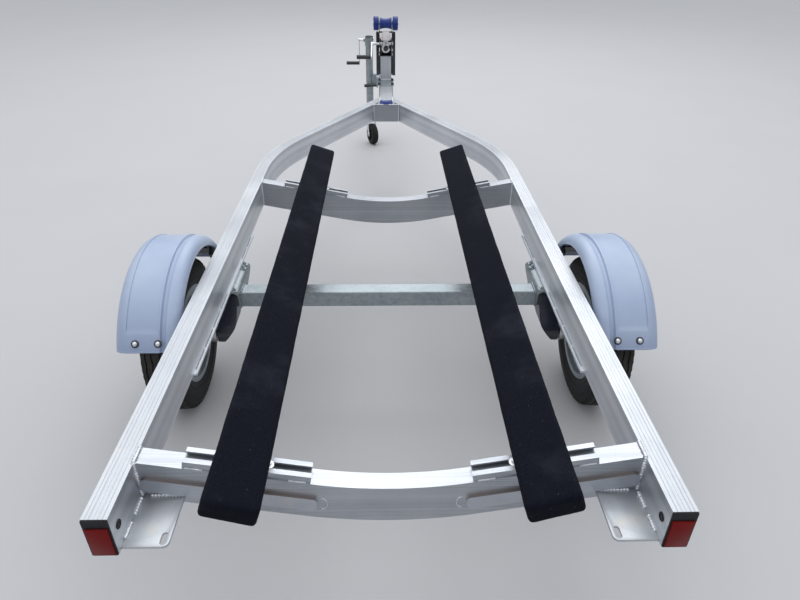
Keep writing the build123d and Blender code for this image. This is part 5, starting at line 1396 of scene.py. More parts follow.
@dataclass
class Welds:
    """Weld beads, laid as overlapping drops of metal that differ a little."""

    pitch: float = 0.0044
    radius: float = 0.0031
    inner_x: float = 0.5336
    top: float = 0.501
    bottom: float = 0.3994
    rear_member: Spot = (REAR_MEMBER_STATION, 185.5)
    front_member: Spot = (FRONT_MEMBER_STATION, 1768.5)
    member_bend: float = 0.1732
    seed: int = 11

    def __post_init__(self) -> None:
        """Starts the beads' random differences from a fixed seed."""
        self.chance = random.Random(self.seed)

    def member_top(self, x: float) -> float:
        """Works out the height of a cross member's top, which slopes down to an arc in the middle.

        Args:
            x: The distance from the middle.

        Returns:
            The height.
        """
        edge = self.top - (RAIL_FACE_X - max(x, self.member_bend)) * math.tan(MEMBER_SLOPE)
        if x >= self.member_bend:
            return edge
        radius = self.member_bend / math.sin(MEMBER_SLOPE)
        return edge + radius * math.cos(MEMBER_SLOPE) - math.sqrt(radius ** 2 - x ** 2)

    def lay(self, shape: Shape, path: Sequence[Point], scale: float = 1.0) -> None:
        """Lays one bead.

        Args:
            shape: The piece that it is added to.
            path: The corners of its run, as x and z in metres and a station in millimetres.
            scale: Its thickness against a plain bead's.
        """
        points = [Vector((x, station(mark), z)) for x, mark, z in path]
        for first, second in zip(points, points[1:]):
            run = second - first
            count = max(1, round(run.length / (self.pitch * scale)))
            step = run.length / count
            profile = [(0.0, -0.6 * step), (self.radius * scale * 0.7, -0.3 * step)]
            for index in range(count + 1):
                size = self.radius * scale * self.chance.uniform(0.88, 1.18)
                profile += [(size, index * step), (size * 0.96, (index + 0.3) * step),
                            (self.radius * scale * 0.62, (index + 0.55) * step)]
            profile[-1] = (0.0, (count + 0.6) * step)
            for vertex in shape.lathe(profile, aimed(first, run), 10):
                vertex.co += Vector([self.chance.uniform(-0.1, 0.1) * self.radius for _ in range(3)])

    def mirrored(self, shape: Shape, path: Sequence[Point], scale: float = 1.0) -> None:
        """Lays the same bead on each side of the trailer, as lay does for one."""
        for side in Side:
            self.lay(shape, [(side.value * x, mark, z) for x, mark, z in path], scale)

    def stitched(self, shape: Shape, first: Point, last: Point, count: int, filled: float,
                 scale: float = 1.0) -> None:
        """Lays a row of short beads on each side.

        Args:
            shape: The piece that they are added to.
            first: Where the row starts.
            last: Where it ends.
            count: How many beads it has.
            filled: The share of the row that is bead.
            scale: The beads' thickness against a plain bead's.
        """
        start, run = Vector(first), Vector(last) - Vector(first)
        for index in range(count):
            near = start + run * ((index + (1 - filled) / 2) / count)
            far = start + run * ((index + (1 + filled) / 2) / count)
            self.mirrored(shape, [tuple(near), tuple(far)], scale)

    def weld_member(self, shape: Shape, member: Spot, foot: float, scale: float) -> None:
        """Welds a cross member's ends to the rails, up one face, over the top and down the other.

        Args:
            shape: The piece that the beads are added to.
            member: The stations of its two faces.
            foot: How far above its lower edge the bead starts.
            scale: The beads' thickness against a plain bead's.
        """
        x, top, low = self.inner_x, self.top, self.bottom
        back, ahead = member
        self.mirrored(shape, [(x, back - 1, low + foot), (x, back - 1, top - 0.002),
                              (x, back + 2, top + 0.0006), (x, ahead - 2, top + 0.0006),
                              (x, ahead + 1, top - 0.004), (x, ahead + 1, low + 0.004)], scale)

    def weld_rear(self) -> None:
        """Welds the rear cross member, its bars and tracks, and the lamp plates."""
        shape = Shape()
        x, low = self.inner_x, self.bottom
        back = self.rear_member[0]
        self.weld_member(shape, self.rear_member, 0.008, 1.55)
        self.mirrored(shape, [(x - 0.001, 32.0, low + 0.0068), (x - 0.001, 66.0, low + 0.0068)], 1.7)
        self.mirrored(shape, [(x - 0.001, 90.0, low + 0.0068), (x - 0.001, 128.0, low + 0.0068)], 1.7)
        self.mirrored(shape, [(0.447, back - 1.5, low + 0.0066), (0.512, back - 1.5, low + 0.0066)], 1.7)
        middle = self.member_top(0.153) - 0.0566
        loop = arc((0.1530, middle), (0.0115, 0.0165), 90, 270, 8)
        self.mirrored(shape, [(x, back - 0.4, z) for x, z in loop], 0.42)
        self.weld_tracks(shape, back)
        shape.finish("rear_weld_beads", "weld_bead", sharp=60.0)

    def weld_tracks(self, shape: Shape, back: float) -> None:
        """Welds the bunk tracks' lips down onto a cross member.

        Args:
            shape: The piece that the beads are added to.
            back: The station of the member's rear face.
        """
        for start in (0.186, 0.286, 0.398):
            for mark in (back + 2.2, back + 45.0):
                ends = (start, start + 0.034)
                self.mirrored(shape, [(x, mark, self.member_top(x) + 0.0004) for x in ends], 0.8)

    def weld_front(self) -> None:
        """Welds the front cross member and its tracks."""
        shape = Shape()
        self.weld_member(shape, self.front_member, 0.003, 1.1)
        self.weld_tracks(shape, self.front_member[0])
        shape.finish("front_weld_beads", "weld_bead", sharp=60.0)

    def weld_throat(self) -> None:
        """Welds the throat plate, the legs onto the tongue, and the keel roller's ears."""
        shape = Shape()
        leg_end = (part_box("side_rail_right")[1].y - REAR_END) * 1000.0
        self.mirrored(shape, [(0.0748, 3002.0, self.bottom + 0.003), (0.0748, 3002.0, self.top - 0.002),
                              (0.0700, 3003.0, self.top + 0.0006), (0.0180, 3003.0, self.top + 0.0006)])
        for z in (self.top + 0.0004, self.bottom - 0.0004):
            self.mirrored(shape, [(0.0388, leg_end - 100.0, z), (0.0388, leg_end - 6.0, z)])
        self.mirrored(shape, [(0.0392, leg_end + 1.0, self.bottom + 0.004),
                              (0.0392, leg_end + 1.0, self.top - 0.004)])
        for x in (0.0375, 0.0440):
            self.mirrored(shape, [(x, 3011.0, 0.448), (x, 3011.0, 0.500)], 0.7)
        shape.finish("throat_weld_beads", "weld_bead", sharp=60.0)

    def weld_axle(self) -> None:
        """Welds the axle's tracks to the rails and its beam to the brackets."""
        shape = Shape()
        self.stitched(shape, (0.5338, 575.0, 0.3997), (0.5338, 985.0, 0.3997), 4, 0.86, 0.62)
        self.stitched(shape, (0.5338, 1225.0, 0.3997), (0.5338, 1410.0, 0.3997), 2, 0.86, 0.62)
        self.stitched(shape, (0.5850, 575.0, 0.3990), (0.5850, 1410.0, 0.3990), 9, 0.4)
        for mark in (1017.5, 1076.5):
            self.mirrored(shape, [(0.4985, mark, 0.330), (0.4985, mark, 0.378)], 1.1)
        self.mirrored(shape, [(0.4985, 1021.0, 0.3818), (0.4985, 1073.0, 0.3818)], 1.1)
        shape.finish("axle_weld_beads", "galvanised_steel", sharp=60.0)

    def weld_stand(self) -> None:
        """Welds the winch post to its foot and the jack's mount to the tongue."""
        shape = Shape()
        for mark in (3649.0, 3701.8):
            self.lay(shape, [(-0.034, mark, 0.5078), (0.034, mark, 0.5078)])
        self.mirrored(shape, [(0.0390, 3654.0, 0.5078), (0.0390, 3697.0, 0.5078)])
        low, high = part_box("jack_mount")[0].z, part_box("jack_mount")[1].z
        x = -0.0390
        for mark in (3822.0, 3928.0):
            self.lay(shape, [(x, mark, max(low + 0.008, 0.404)), (x, mark, high - 0.010)])
        shape.finish("stand_weld_beads", "weld_bead", sharp=60.0)

    def build(self) -> None:
        """Lays every bead."""
        self.weld_rear()
        self.weld_front()
        self.weld_throat()
        self.weld_axle()
        self.weld_stand()


@dataclass
class LampPlates:
    """The corner plates for the rear lamps, each with a long slot and one rounded corner."""

    inner_x: float = 0.4432
    outer_x: float = RAIL_FACE_X
    start: float = 11.0
    end: float = 140.7
    low: float = 0.3994
    thickness: float = 0.006
    corner: float = 0.012
    slot_middle: Spot = (0.4566, 30.0)
    slot_half: Spot = (0.0058, 0.0145)

    def build(self) -> None:
        """Makes both plates."""
        shape = Shape()
        for side in Side:
            back, ahead = station(self.start), station(self.end)
            around = arc((self.inner_x + self.corner, back + self.corner),
                         (self.corner, self.corner), 180, 270, 6)
            outline = [*around, (self.outer_x, back), (self.outer_x, ahead), (self.inner_x, ahead)]
            middle_y = station(self.slot_middle[1])
            reach = self.slot_half[1] - self.slot_half[0]
            radii = (self.slot_half[0], self.slot_half[0])
            slot = arc((self.slot_middle[0], middle_y + reach), radii, 0, 180, 9)
            slot += arc((self.slot_middle[0], middle_y - reach), radii, 180, 360, 9)
            loops = []
            for points in (outline, slot):
                ring = [shape.mesh.verts.new((side.value * x, y, self.low)) for x, y in points]
                loops += [shape.mesh.edges.new(pair) for pair in zip(ring, ring[1:] + ring[:1])]
            filled = bmesh.ops.triangle_fill(shape.mesh, use_beauty=True, use_dissolve=False,
                                             edges=loops)["geom"]
            faces = [item for item in filled if isinstance(item, bmesh.types.BMFace)]
            shape.raise_faces(faces, (0.0, 0.0, self.thickness))
        shape.face_out()
        shape.soften(list(shape.mesh.verts), 0.0006, 2)
        shape.finish("lamp_plate_pair", "plate_aluminium", replaces=["lamp_plates"], sharp=25.0)


@dataclass
class FrameFittings:
    """Small hardware of the frame: bolts, the rims of the rail holes and the rear reflectors."""

    track_bolts: tuple[float, ...] = (600.0, 820.0, 1246.0, 1390.0)
    bracket_bolts: tuple[float, ...] = (1012.0, 1166.0, 1196.0)
    track_z: float = 0.3934
    bunk_bolts: Spot = (0.2645, 0.3495)
    seat_height: float = 0.0163
    hole_station: float = 28.0
    hole_z: float = 0.453
    reflector_x: Spot = (0.5372, 0.5820)

    def bolt_axle(self) -> None:
        """Bolts the axle brackets up to the tracks, and the tracks' ends to the rails."""
        shape = Shape()
        bolt = HexBolt(0.015, 0.0065, 0.0022)
        nut = HexBolt(0.0115, 0.0055, 0.0018, 0.004)
        for side in Side:
            for mark in self.bracket_bolts:
                nut.fit(shape, (side.value * 0.5175, station(mark), self.track_z), (0, 0, 1), mark)
                bolt.fit(shape, (side.value * 0.5400, station(mark), 0.3868), (0, 0, -1), mark * 2)
            for mark in self.track_bolts:
                bolt.fit(shape, (side.value * 0.5560, station(mark), self.track_z), (0, 0, -1), mark)
        shape.finish("axle_bolts", "galvanised_steel")

    def rim_holes(self) -> None:
        """Sets a black rim in the hole near each rail's rear end: a grommet, whose black also serves as
        painted shade so the hole reads dark.
        """
        shape = Shape()
        for side in Side:
            foot = (side.value * RAIL_FACE_X, station(self.hole_station), self.hole_z)
            profile = [(0.0058, 0.0016), (0.0072, 0.0021), (0.0094, 0.0016), (0.0102, 0.0), (0.0058, 0.0)]
            shape.lathe(profile, aimed(foot, (-side.value, 0, 0)), 32, closed=True)
        # Black grommet; its black is also painted shade inside the hole.
        shape.finish("rail_hole_rims", "cap_plastic")

    def bolt_bunks(self) -> None:
        """Bolts the bunk seats down onto their tracks."""
        shape = Shape()
        nut = HexBolt(0.013, 0.0065, 0.0018, 0.005)
        welds = Welds()
        for back in (REAR_MEMBER_STATION, FRONT_MEMBER_STATION):
            for side in Side:
                lean = (-side.value * math.sin(MEMBER_SLOPE), 0.0, math.cos(MEMBER_SLOPE))
                for x in self.bunk_bolts:
                    foot = (side.value * x, station(back + 25.2), welds.member_top(x) + self.seat_height)
                    nut.fit(shape, foot, lean, x)
        shape.finish("bunk_nuts", "zinc_plate")

    def set_reflectors(self) -> None:
        """Makes the rear reflectors, a frame round a raised prismatic lens."""
        lens, surround = Shape(), Shape()
        for side in Side:
            low_x, high_x = sorted(side.value * x for x in self.reflector_x)
            surround.block((low_x, station(-5.6), 0.4024), (high_x, station(-3.0), 0.4784), 0.0009)
            lens.block((low_x + 0.0018, station(-6.5), 0.4042),
                       (high_x - 0.0018, station(-4.6), 0.4766), 0.0008)
        lens.finish("reflector_lenses", "reflector_red", replaces=["rear_reflectors"])
        surround.finish("reflector_surrounds", "reflector_red")

    def build(self) -> None:
        """Adds all the fittings."""
        self.bolt_axle()
        self.rim_holes()
        self.bolt_bunks()
        self.set_reflectors()


# Rollers, winch, coupler and jack


@dataclass
class Rollers:
    """The moulded keel roller and the bow roller between its two bells."""

    keel: Point = (0.0, station(3046.0), 0.488)
    keel_nut_x: float = 0.0436
    bow: Point = (0.0, station(3606.0), 0.870)
    bow_end_x: float = 0.0800

    def mould_keel_roller(self) -> None:
        """Makes the keel roller with its waist and rounded ends."""
        shape = Shape()
        half = [(0.0, 0.0270), (0.012, 0.0273), (0.022, 0.0284), (0.030, 0.0300), (0.0345, 0.0308),
                (0.0362, 0.0304), (0.0369, 0.0290)]
        half += [(0.0369, 0.0250), (0.0355, 0.0235), (0.0355, 0.0165), (0.0369, 0.0150), (0.0369, 0.0085)]
        shape.lathe(doubled(half), aimed(self.keel, (1, 0, 0)), 56, closed=True)
        shape.finish("keel_roller_rubber", "roller_rubber", "keel_roller", ["keel_roller"], sharp=45.0)
        ends = Shape()
        for side in Side:
            foot = Vector(self.keel) + Vector((side.value * self.keel_nut_x, 0, 0))
            HexBolt(0.019, 0.0042, 0.0016).fit(ends, foot, (side.value, 0, 0), 0.4)
        ends.finish("keel_pin_nuts", "zinc_plate")

    def mould_bow_roller(self) -> None:
        """Makes the bow roller's spool, bells and end washers."""
        spool = Shape()
        half = [(0.0, 0.0290), (0.010, 0.0293), (0.020, 0.0306), (0.029, 0.0330), (0.0345, 0.0352),
                (0.0372, 0.0358), (0.0383, 0.0350), (0.0383, 0.0290), (0.0383, 0.0083)]
        spool.lathe(doubled(half), aimed(self.bow, (1, 0, 0)), 64, closed=True)
        spool.finish("bow_roller_spool", "roller_rubber", "bow_roller", ["bow_roller"], sharp=45.0)
        bells = Shape()
        profile = [(0.0083, 0.0452), (0.0300, 0.0452), (0.0352, 0.0462), (0.0398, 0.0478), (0.0422, 0.0500),
                   (0.0430, 0.0530), (0.0430, 0.0560), (0.0418, 0.0566), (0.0418, 0.0694), (0.0430, 0.0700),
                   (0.0430, 0.0735), (0.0415, 0.0768), (0.0380, 0.0792), (0.0330, 0.0799), (0.0200, 0.0799),
                   (0.0185, 0.0780), (0.0120, 0.0780), (0.0105, 0.0799), (0.0083, 0.0799)]
        for side in Side:
            bells.lathe(profile, aimed(self.bow, (side.value, 0, 0)), 64, closed=True)
        bells.finish("bow_bell_rubber", "roller_rubber", "bow_roller", ["bow_roller_bells"], sharp=45.0)
        ends = Shape()
        for side in Side:
            foot = Vector(self.bow) + Vector((side.value * self.bow_end_x, 0, 0))
            ends.drum(aimed(foot, (side.value, 0, 0)), 0.0016, 0.0140, sides=32, softened=0.0004)
        ends.finish("bow_shaft_washers", "zinc_plate", "bow_roller")

    def build(self) -> None:
        """Makes both rollers."""
        self.mould_keel_roller()
        self.mould_bow_roller()


@dataclass
class Grip:
    """A moulded hand grip with a flange at each end and finger rings, turned about a crank's pin."""

    name: str
    node: str
    body: str
    foot: Point
    length: float
    radius: float
    bore: float
    rings: int

    def build(self) -> None:
        """Makes the grip, which points to the trailer's left from its foot."""
        shape = Shape()
        line = [(self.bore, 0.0), (self.radius * 0.96, 0.0), (self.radius, 0.0012), (self.radius, 0.0045)]
        pitch = (self.length - 0.014) / self.rings
        for index in range(self.rings):
            start = 0.006 + index * pitch
            line += [(self.radius * 0.89, start), (self.radius * 0.985, start + pitch * 0.25),
                     (self.radius * 0.985, start + pitch * 0.75), (self.radius * 0.89, start + pitch * 0.98)]
        end = self.length
        line += [(self.radius, end - 0.0065), (self.radius, end - 0.0030), (self.radius * 0.86, end),
                 (self.bore, end)]
        shape.lathe(line, aimed(self.foot, (-1, 0, 0)), 40, closed=True)
        shape.finish(self.name, "grip_plastic", self.body, [self.node], sharp=50.0)


@dataclass
class WinchStand:
    """The winch's strap, its black back plate, which stands in as painted shade inside the winch, its small
    parts and the bolts of its post.

    A spot's first number is a station in millimetres and its second a height in metres.
    """

    drum: Spot = (3672.0, 0.725)
    crank: Spot = (3610.0, 0.745)
    strap_mark: float = 3586.2
    strap_width: float = 0.048
    strap_thickness: float = 0.0026
    strap_cuts: int = 16
    gathered_width: float = 0.024
    gathering: float = 0.0032
    loop_rows: int = 13
    loop_height: float = 0.052
    loop_sides: int = 40
    guard_radius: float = 0.0580
    guard_foot: float = 0.6648
    guard_width: float = 0.0736
    guard_wall: float = 0.0016
    plate_x: float = 0.0402
    upright_x: float = 0.0482
    foot_bolt_x: float = 0.0434
    foot_bolt_z: float = 0.5069

    def thread_strap(self) -> None:
        """Threads the strap from its roll over the guide, and gathers its end into the hook's eye."""
        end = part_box("winch_strap")[0].z
        flat = [(3694.5, 0.7579), (3661.0, 0.7795), (3625.0, 0.8035), (3600.0, 0.8205), (3593.5, 0.8250),
                (3588.6, 0.8247)]
        hanging = [(0.8120, 0.052), (0.8040, 0.050), (end + 0.024, 0.042), (end + 0.010, 0.031),
                   (end + 0.001, self.gathered_width)]
        path = [(mark, z, self.strap_width) for mark, z in flat] + [(3586.4, 0.8200, 0.050)]
        path += [(self.strap_mark, z, width) for z, width in hanging]
        shape = Shape()
        rows = []
        for index, (mark, z, width) in enumerate(path):
            fold = 0.0
            if index >= len(flat):
                fold = self.gathering * (1.0 - (width - self.gathered_width) / self.gathered_width)
            row = []
            for cut in range(self.strap_cuts + 1):
                share = cut / self.strap_cuts - 0.5
                ripple = fold * math.sin(share * math.tau * 2.5)
                row.append(shape.mesh.verts.new((share * width, station(mark) + ripple, z)))
            rows.append([shape.mesh.edges.new(pair) for pair in zip(row, row[1:])])
        shape.bridge(rows)
        shape.face_out()
        bmesh.ops.solidify(shape.mesh, geom=list(shape.mesh.faces), thickness=self.strap_thickness)
        shape.face_out()
        shape.finish("strap_ribbon", "strap_webbing", replaces=["winch_strap"], sharp=55.0)

    def gather_sleeve(self) -> None:
        """Adds the strap end's folded, stitched loop, which bulges behind the guide."""
        shape = Shape()
        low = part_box("winch_strap")[0].z + 0.014
        last = self.loop_rows - 1
        rows = []
        for index in range(self.loop_rows):
            share = index / last
            z = low + share * self.loop_height
            half = 0.013 + 0.0225 * math.sin(math.pi * min(1.0, 0.18 + share * 0.80)) ** 0.7
            depth = 0.0052 + 0.0030 * math.sin(math.pi * share)
            ring = bmesh.ops.create_circle(shape.mesh, cap_ends=index in (0, last), radius=1.0,
                                           segments=self.loop_sides)["verts"]
            for vertex in ring:
                angle = math.atan2(vertex.co.y, vertex.co.x)
                pleat = 1.0 + 0.16 * math.sin(angle * 6.0 + share * 2.2) * (1.0 - 0.4 * share)
                y = station(3575.5) + depth * pleat * math.sin(angle)
                vertex.co = Vector((half * math.cos(angle), y, z))
            rows.append(ring_edges(ring))
        shape.bridge(rows)
        shape.face_out()
        shape.finish("strap_end_loop", "strap_webbing", sharp=55.0)

    def bend_shade_plate(self) -> None:
        """Bends the black plate that closes the winch's far side round its gear, as painted shade inside the
        winch.
        """
        centre, height = self.drum
        turn = arc((0.0, 0.0), (self.guard_radius, self.guard_radius), 0, 50, 8)
        front = centre + self.guard_radius * 1000.0
        path = [(3712.0, self.guard_foot), (front - 4.0, self.guard_foot),
                (front - 1.2, self.guard_foot + 0.0012), (front, self.guard_foot + 0.004)]
        path += [(centre + ahead * 1000.0, height + up) for ahead, up in turn]
        shape = Shape()
        points = [shape.mesh.verts.new((-self.guard_width / 2, station(mark), z)) for mark, z in path]
        edges = [shape.mesh.edges.new(pair) for pair in zip(points, points[1:])]
        far = vertices_of(bmesh.ops.extrude_edge_only(shape.mesh, edges=edges)["geom"])
        bmesh.ops.translate(shape.mesh, vec=(self.guard_width, 0.0, 0.0), verts=far)
        shape.face_out()
        bmesh.ops.solidify(shape.mesh, geom=list(shape.mesh.faces), thickness=self.guard_wall)
        shape.face_out()
        shape.soften(list(shape.mesh.verts), 0.0004)
        # The plate's black paint is painted shade inside the winch.
        shape.finish("winch_shade_plate", "black_paint", sharp=30.0)

    def add_ratchet(self) -> None:
        """Adds the winch's pawl, its shafts' nuts and the bolts of its frame."""
        steel = Shape()
        drum = Vector((0.0, station(self.drum[0]), self.drum[1]))
        crank = Vector((0.0, station(self.crank[0]), self.crank[1]))
        for side in Side:
            foot = drum + Vector((side.value * self.plate_x, 0, 0))
            HexBolt(0.019, 0.0070, 0.0018).fit(steel, foot, (side.value, 0, 0), 0.3)
            for mark in (3640.0, 3700.0):
                foot = Vector((side.value * self.plate_x, station(mark), 0.6735))
                HexBolt(0.013, 0.0050, 0.0016).fit(steel, foot, (side.value, 0, 0), mark)
        HexBolt(0.017, 0.0065, 0.0018).fit(steel, crank + Vector((self.plate_x, 0, 0)), (1, 0, 0), 0.1)
        steel.finish("winch_bolts", "zinc_plate")
        pawl = Shape()
        foot = Vector((0.0430, station(3646.0), 0.7020))
        outline = [(-0.012, -0.008), (0.006, -0.010), (0.026, 0.008), (0.021, 0.016), (0.002, 0.009),
                   (-0.010, 0.006)]
        pawl.plate([foot + Vector((0, y, z)) for y, z in outline], (0.005, 0, 0), 0.0009)
        pawl.drum(aimed(foot + Vector((-0.001, 0, 0)), (1, 0, 0)), 0.009, 0.0055, sides=20,
                  softened=0.0006)
        pawl.finish("winch_pawl", "zinc_plate")

    def bolt_post(self) -> None:
        """Bolts the uprights through the post, and caps the U-bolts' nuts in black."""
        shape = Shape()
        for side in Side:
            for z in (0.5625, 0.6250):
                foot = (side.value * self.upright_x, station(3670.0), z)
                HexBolt(0.015, 0.0065, 0.0020, 0.004).fit(shape, foot, (side.value, 0, 0), z)
            for z in (0.7000, 0.7850):
                foot = (side.value * self.upright_x, station(3685.0), z)
                HexBolt(0.013, 0.0055, 0.0018, 0.003).fit(shape, foot, (side.value, 0, 0), z)
        shape.finish("post_bolts", "zinc_plate")
        nuts = Shape()
        for side in Side:
            for mark in (3500.0, 3620.0):
                place = aimed((side.value * self.foot_bolt_x, station(mark), self.foot_bolt_z), (0, 0, 1))
                nuts.drum(place, 0.0022, 0.0108, sides=28, softened=0.0005)
                nuts.drum(place @ Matrix.Translation((0, 0, 0.0022)), 0.0088, 0.0102, sides=6,
                          softened=0.0008)
                nuts.drum(place @ Matrix.Translation((0, 0, 0.0110)), 0.0036, 0.0068, 0.0062, 20, 0.0005)
        nuts.finish("u_bolt_nuts", "black_paint")

    def build(self) -> None:
        """Adds all the parts of the stand."""
        self.thread_strap()
        self.gather_sleeve()
        self.bend_shade_plate()
        self.add_ratchet()
        self.bolt_post()


@dataclass
class CouplerFittings:
    """Through-bolts of the coupler, whose nuts are on the left, and its latch pin's ends."""

    bolt_stations: Spot = (4085.0, 4165.0)
    bolt_x: float = 0.0429
    bolt_z: float = 0.4625
    pin: Point = (0.0188, station(4235.0), 0.5218)

    def build(self) -> None:
        """Adds the fittings."""
        shape = Shape()
        for side in Side:
            bolt = HexBolt(0.019, 0.0085, 0.0025, 0.004 if side is Side.LEFT else 0.0)
            for mark in self.bolt_stations:
                foot = (side.value * self.bolt_x, station(mark), self.bolt_z)
                bolt.fit(shape, foot, (side.value, 0, 0), 0.2)
            foot = (side.value * self.pin[0], *self.pin[1:])
            shape.drum(aimed(foot, (side.value, 0, 0)), 0.0032, 0.0075, sides=24, softened=0.0008)
        shape.finish("coupler_bolts", "zinc_plate")


@dataclass
class JackFittings:
    """The jack's caster wheel with its axle nuts, and the tube's cap, gearbox screws and collar."""

    x: float = -0.116
    y: float = station(JACK_STATION)
    turn: float = math.radians(21.0)
    wheel_radius: float = 0.075
    trail: float = 0.044
    webs: int = 6
    screw_away: float = 0.021
    nut_x: float = 0.0312

    def caster_place(self) -> Matrix:
        """Returns the caster wheel's place, with +Z along its axle."""
        upright = Matrix.Translation((self.x, self.y, 0.0)) @ Matrix.Rotation(self.turn, 4, "Z")
        return upright @ aimed((0.0, -self.trail, self.wheel_radius), (1, 0, 0))

    def mould_caster(self) -> None:
        """Makes the caster wheel, a moulded hub with webs inside a solid tread."""
        half = [(0.0250, 0.0063), (0.0250, 0.0140), (0.0200, 0.0160), (0.0085, 0.0178), (0.0075, 0.0420),
                (0.0120, 0.0450), (0.0215, 0.0460), (0.0238, 0.0480), (0.0240, 0.0560), (0.0232, 0.0630),
                (0.0205, 0.0690), (0.0160, 0.0728), (0.0145, 0.0712), (0.0125, 0.0712), (0.0115, 0.0742),
                (0.0040, 0.0750)]
        line = [(r, -a) for a, r in half] + [(r, a) for a, r in half[::-1]]
        shape = Shape()
        shape.lathe(line, self.caster_place(), 72, closed=True)
        for index in range(self.webs):
            web = self.caster_place() @ Matrix.Rotation(math.tau * index / self.webs, 4, "Z")
            shape.block((0.0170, -0.0016, -0.0190), (0.0455, 0.0016, 0.0190), 0.0008, web)
        shape.finish("caster_tread", "tyre_rubber", "caster_wheel", ["caster_wheel"], sharp=40.0)

    def add_hardware(self) -> None:
        """Adds the gearbox's screws, the top cap, the collar over the leg and the axle's nuts."""
        cap = Shape()
        cap.lathe([(0.0, 0.7460), (0.0270, 0.7460), (0.0278, 0.7468), (0.0270, 0.7500), (0.0200, 0.7528),
                   (0.0, 0.7535)], Matrix.Translation((self.x, self.y, 0.0)), 40)
        cap.finish("jack_top_cap", "cap_plastic", "jack")
        steel = Shape()
        for side in Side:
            for away in (-self.screw_away, self.screw_away):
                foot = (self.x + side.value * 0.0290, self.y + away, 0.7350)
                HexBolt(0.008, 0.0035, 0.0010).fit(steel, foot, (side.value, 0, 0), away)
        collar = [(0.0255, 0.2630), (0.0285, 0.2625), (0.0290, 0.2700), (0.0282, 0.2780), (0.0255, 0.2790)]
        steel.lathe(collar, Matrix.Translation((self.x, self.y, 0.0)), 48, closed=True)
        steel.finish("jack_hardware", "zinc_plate", "jack")
        axle = Shape()
        for turn in (math.pi, 0.0):
            place = self.caster_place() @ Matrix.Rotation(turn, 4, "X")
            place = place @ Matrix.Translation((0, 0, self.nut_x))
            axle.drum(place, 0.0058, 0.0100, sides=6, softened=0.0007)
        axle.finish("caster_nuts", "zinc_plate", "jack_caster")

    def build(self) -> None:
        """Makes the jack's parts."""
        self.mould_caster()
        self.add_hardware()


# Studio


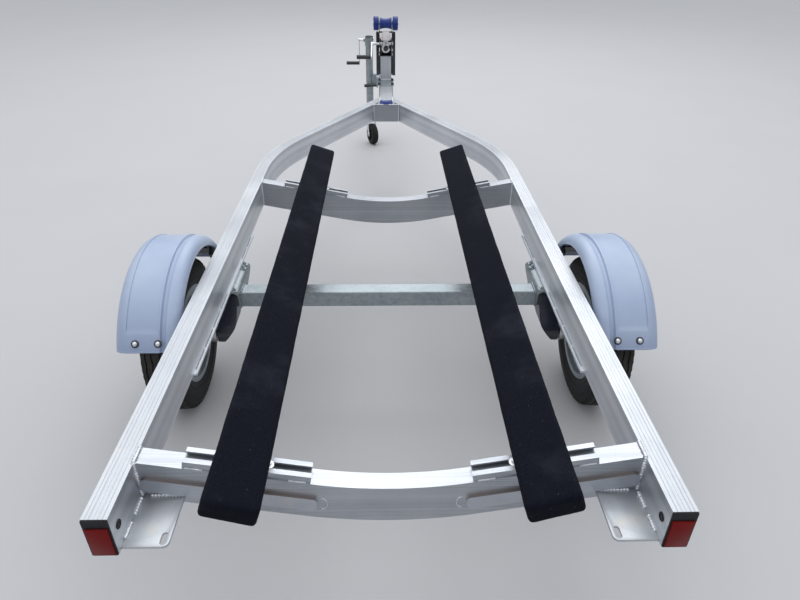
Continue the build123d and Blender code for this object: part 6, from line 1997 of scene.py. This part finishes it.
@dataclass
class Studio:
    """The pale floor, the soft lamps and the camera that stands where the photograph was taken."""

    eye: Point = (-0.0133, -2.93895, 1.4624)
    lens: float = 27.85
    pitch: float = math.radians(31.77)
    yaw: float = math.radians(1.63)
    roll: float = math.radians(0.57)
    edge_glow: float = 0.26
    top_glow: float = 1.12
    glow_span: Spot = (-0.05, 0.65)
    sky_tint: Colour = (0.93, 0.96, 1.0)
    floor_size: float = 60.0
    middle: Point = (0.0, 0.0, 0.4)

    def set_camera(self) -> None:
        """Makes the camera."""
        ahead = Vector((math.sin(self.yaw) * math.cos(self.pitch),
                        math.cos(self.yaw) * math.cos(self.pitch), -math.sin(self.pitch)))
        level = Vector((math.cos(self.yaw), -math.sin(self.yaw), 0.0))
        upward = level.cross(ahead)
        right = level * math.cos(self.roll) + upward * math.sin(self.roll)
        up = upward * math.cos(self.roll) - level * math.sin(self.roll)
        turned = Matrix((right, up, -ahead)).transposed().to_4x4()
        data = bpy.data.cameras.new("camera")
        data.lens = self.lens
        data.sensor_width = 36.0
        data.clip_end = 200.0
        camera = show("camera", data)
        camera.matrix_world = Matrix.Translation(self.eye) @ turned
        bpy.context.scene.camera = camera

    def lay_floor(self) -> None:
        """Lays the floor, which isn't part of the trailer."""
        shape = bmesh.new()
        bmesh.ops.create_grid(shape, x_segments=2, y_segments=2, size=self.floor_size)
        mesh = bpy.data.meshes.new("floor")
        shape.to_mesh(mesh)
        shape.free()
        mesh.materials.append(StudioFloor("studio_floor").paint())
        floor = show("floor", mesh)

    def add_lamp(self, name: str, place: Point, target: Point, size: float, power: float,
                 colour: Colour) -> None:
        """Hangs one soft square lamp.

        Args:
            name: The lamp's name.
            place: Where it hangs.
            target: What it faces.
            size: Its side.
            power: Its power in watts.
            colour: Its tint.
        """
        data = bpy.data.lights.new(name, "AREA")
        data.size = size
        data.energy = power
        data.color = colour
        lamp = show(name, data)
        lamp.location = place
        lamp.rotation_euler = (Vector(target) - Vector(place)).to_track_quat("-Z", "Y").to_euler()

    def light(self) -> None:
        """Hangs the lamps and fills the sky, which is brighter overhead than at its edge."""
        self.add_lamp("sky_panel", (0.0, 0.4, 5.0), self.middle, 6.0, 70.0, (1.0, 1.0, 0.99))
        self.add_lamp("front_panel", (0.6, 5.2, 6.6), self.middle, 5.0, 185.0, (0.98, 0.99, 1.0))
        self.add_lamp("rear_panel", (-3.4, -4.6, 3.6), (0.0, -0.6, 0.3), 3.0, 14.0, (0.96, 0.98, 1.0))
        world = bpy.data.worlds.new("sky")
        world.use_nodes = True
        tree = world.node_tree
        direction = tree.nodes.new("ShaderNodeTexCoord")
        parts = tree.nodes.new("ShaderNodeSeparateXYZ")
        rise = tree.nodes.new("ShaderNodeMapRange")
        rise.interpolation_type = "SMOOTHSTEP"
        rise.inputs["From Min"].default_value = self.glow_span[0]
        rise.inputs["From Max"].default_value = self.glow_span[1]
        rise.inputs["To Min"].default_value = self.edge_glow
        rise.inputs["To Max"].default_value = self.top_glow
        tree.links.new(direction.outputs["Generated"], parts.inputs[0])
        tree.links.new(parts.outputs[2], rise.inputs["Value"])
        background = tree.nodes["Background"]
        background.inputs[0].default_value = (*self.sky_tint, 1.0)
        tree.links.new(rise.outputs[0], background.inputs[1])
        bpy.context.scene.world = world
        bpy.context.scene.view_settings.view_transform = "Standard"

    def build(self) -> None:
        """Sets up the whole studio."""
        self.set_camera()
        self.lay_floor()
        self.light()


def main() -> None:
    """Builds every sub-assembly in order and reports each one."""
    logging.basicConfig(level=logging.INFO, format="%(name)s: %(message)s")
    PAINTS.dress_nodes()
    winch_grip = Grip("winch_handle", "winch_grip", "winch_crank", (-0.0965, station(3449.26), 0.68965),
                      0.092, 0.013, 0.0062, 10)
    jack_grip = Grip("jack_handle", "jack_grip", "jack_crank", (-0.1885, station(JACK_STATION), 0.572),
                     0.090, 0.012, 0.0052, 10)
    builders = (Studio(), Bunks(), Wheels(), Fenders(), Welds(), LampPlates(), FrameFittings(),
                Rollers(), winch_grip, jack_grip, WinchStand(), CouplerFittings(), JackFittings())
    for builder in builders:
        builder.build()
        LOG.info("%s is built", type(builder).__name__)


if __name__ == "__main__":
    main()
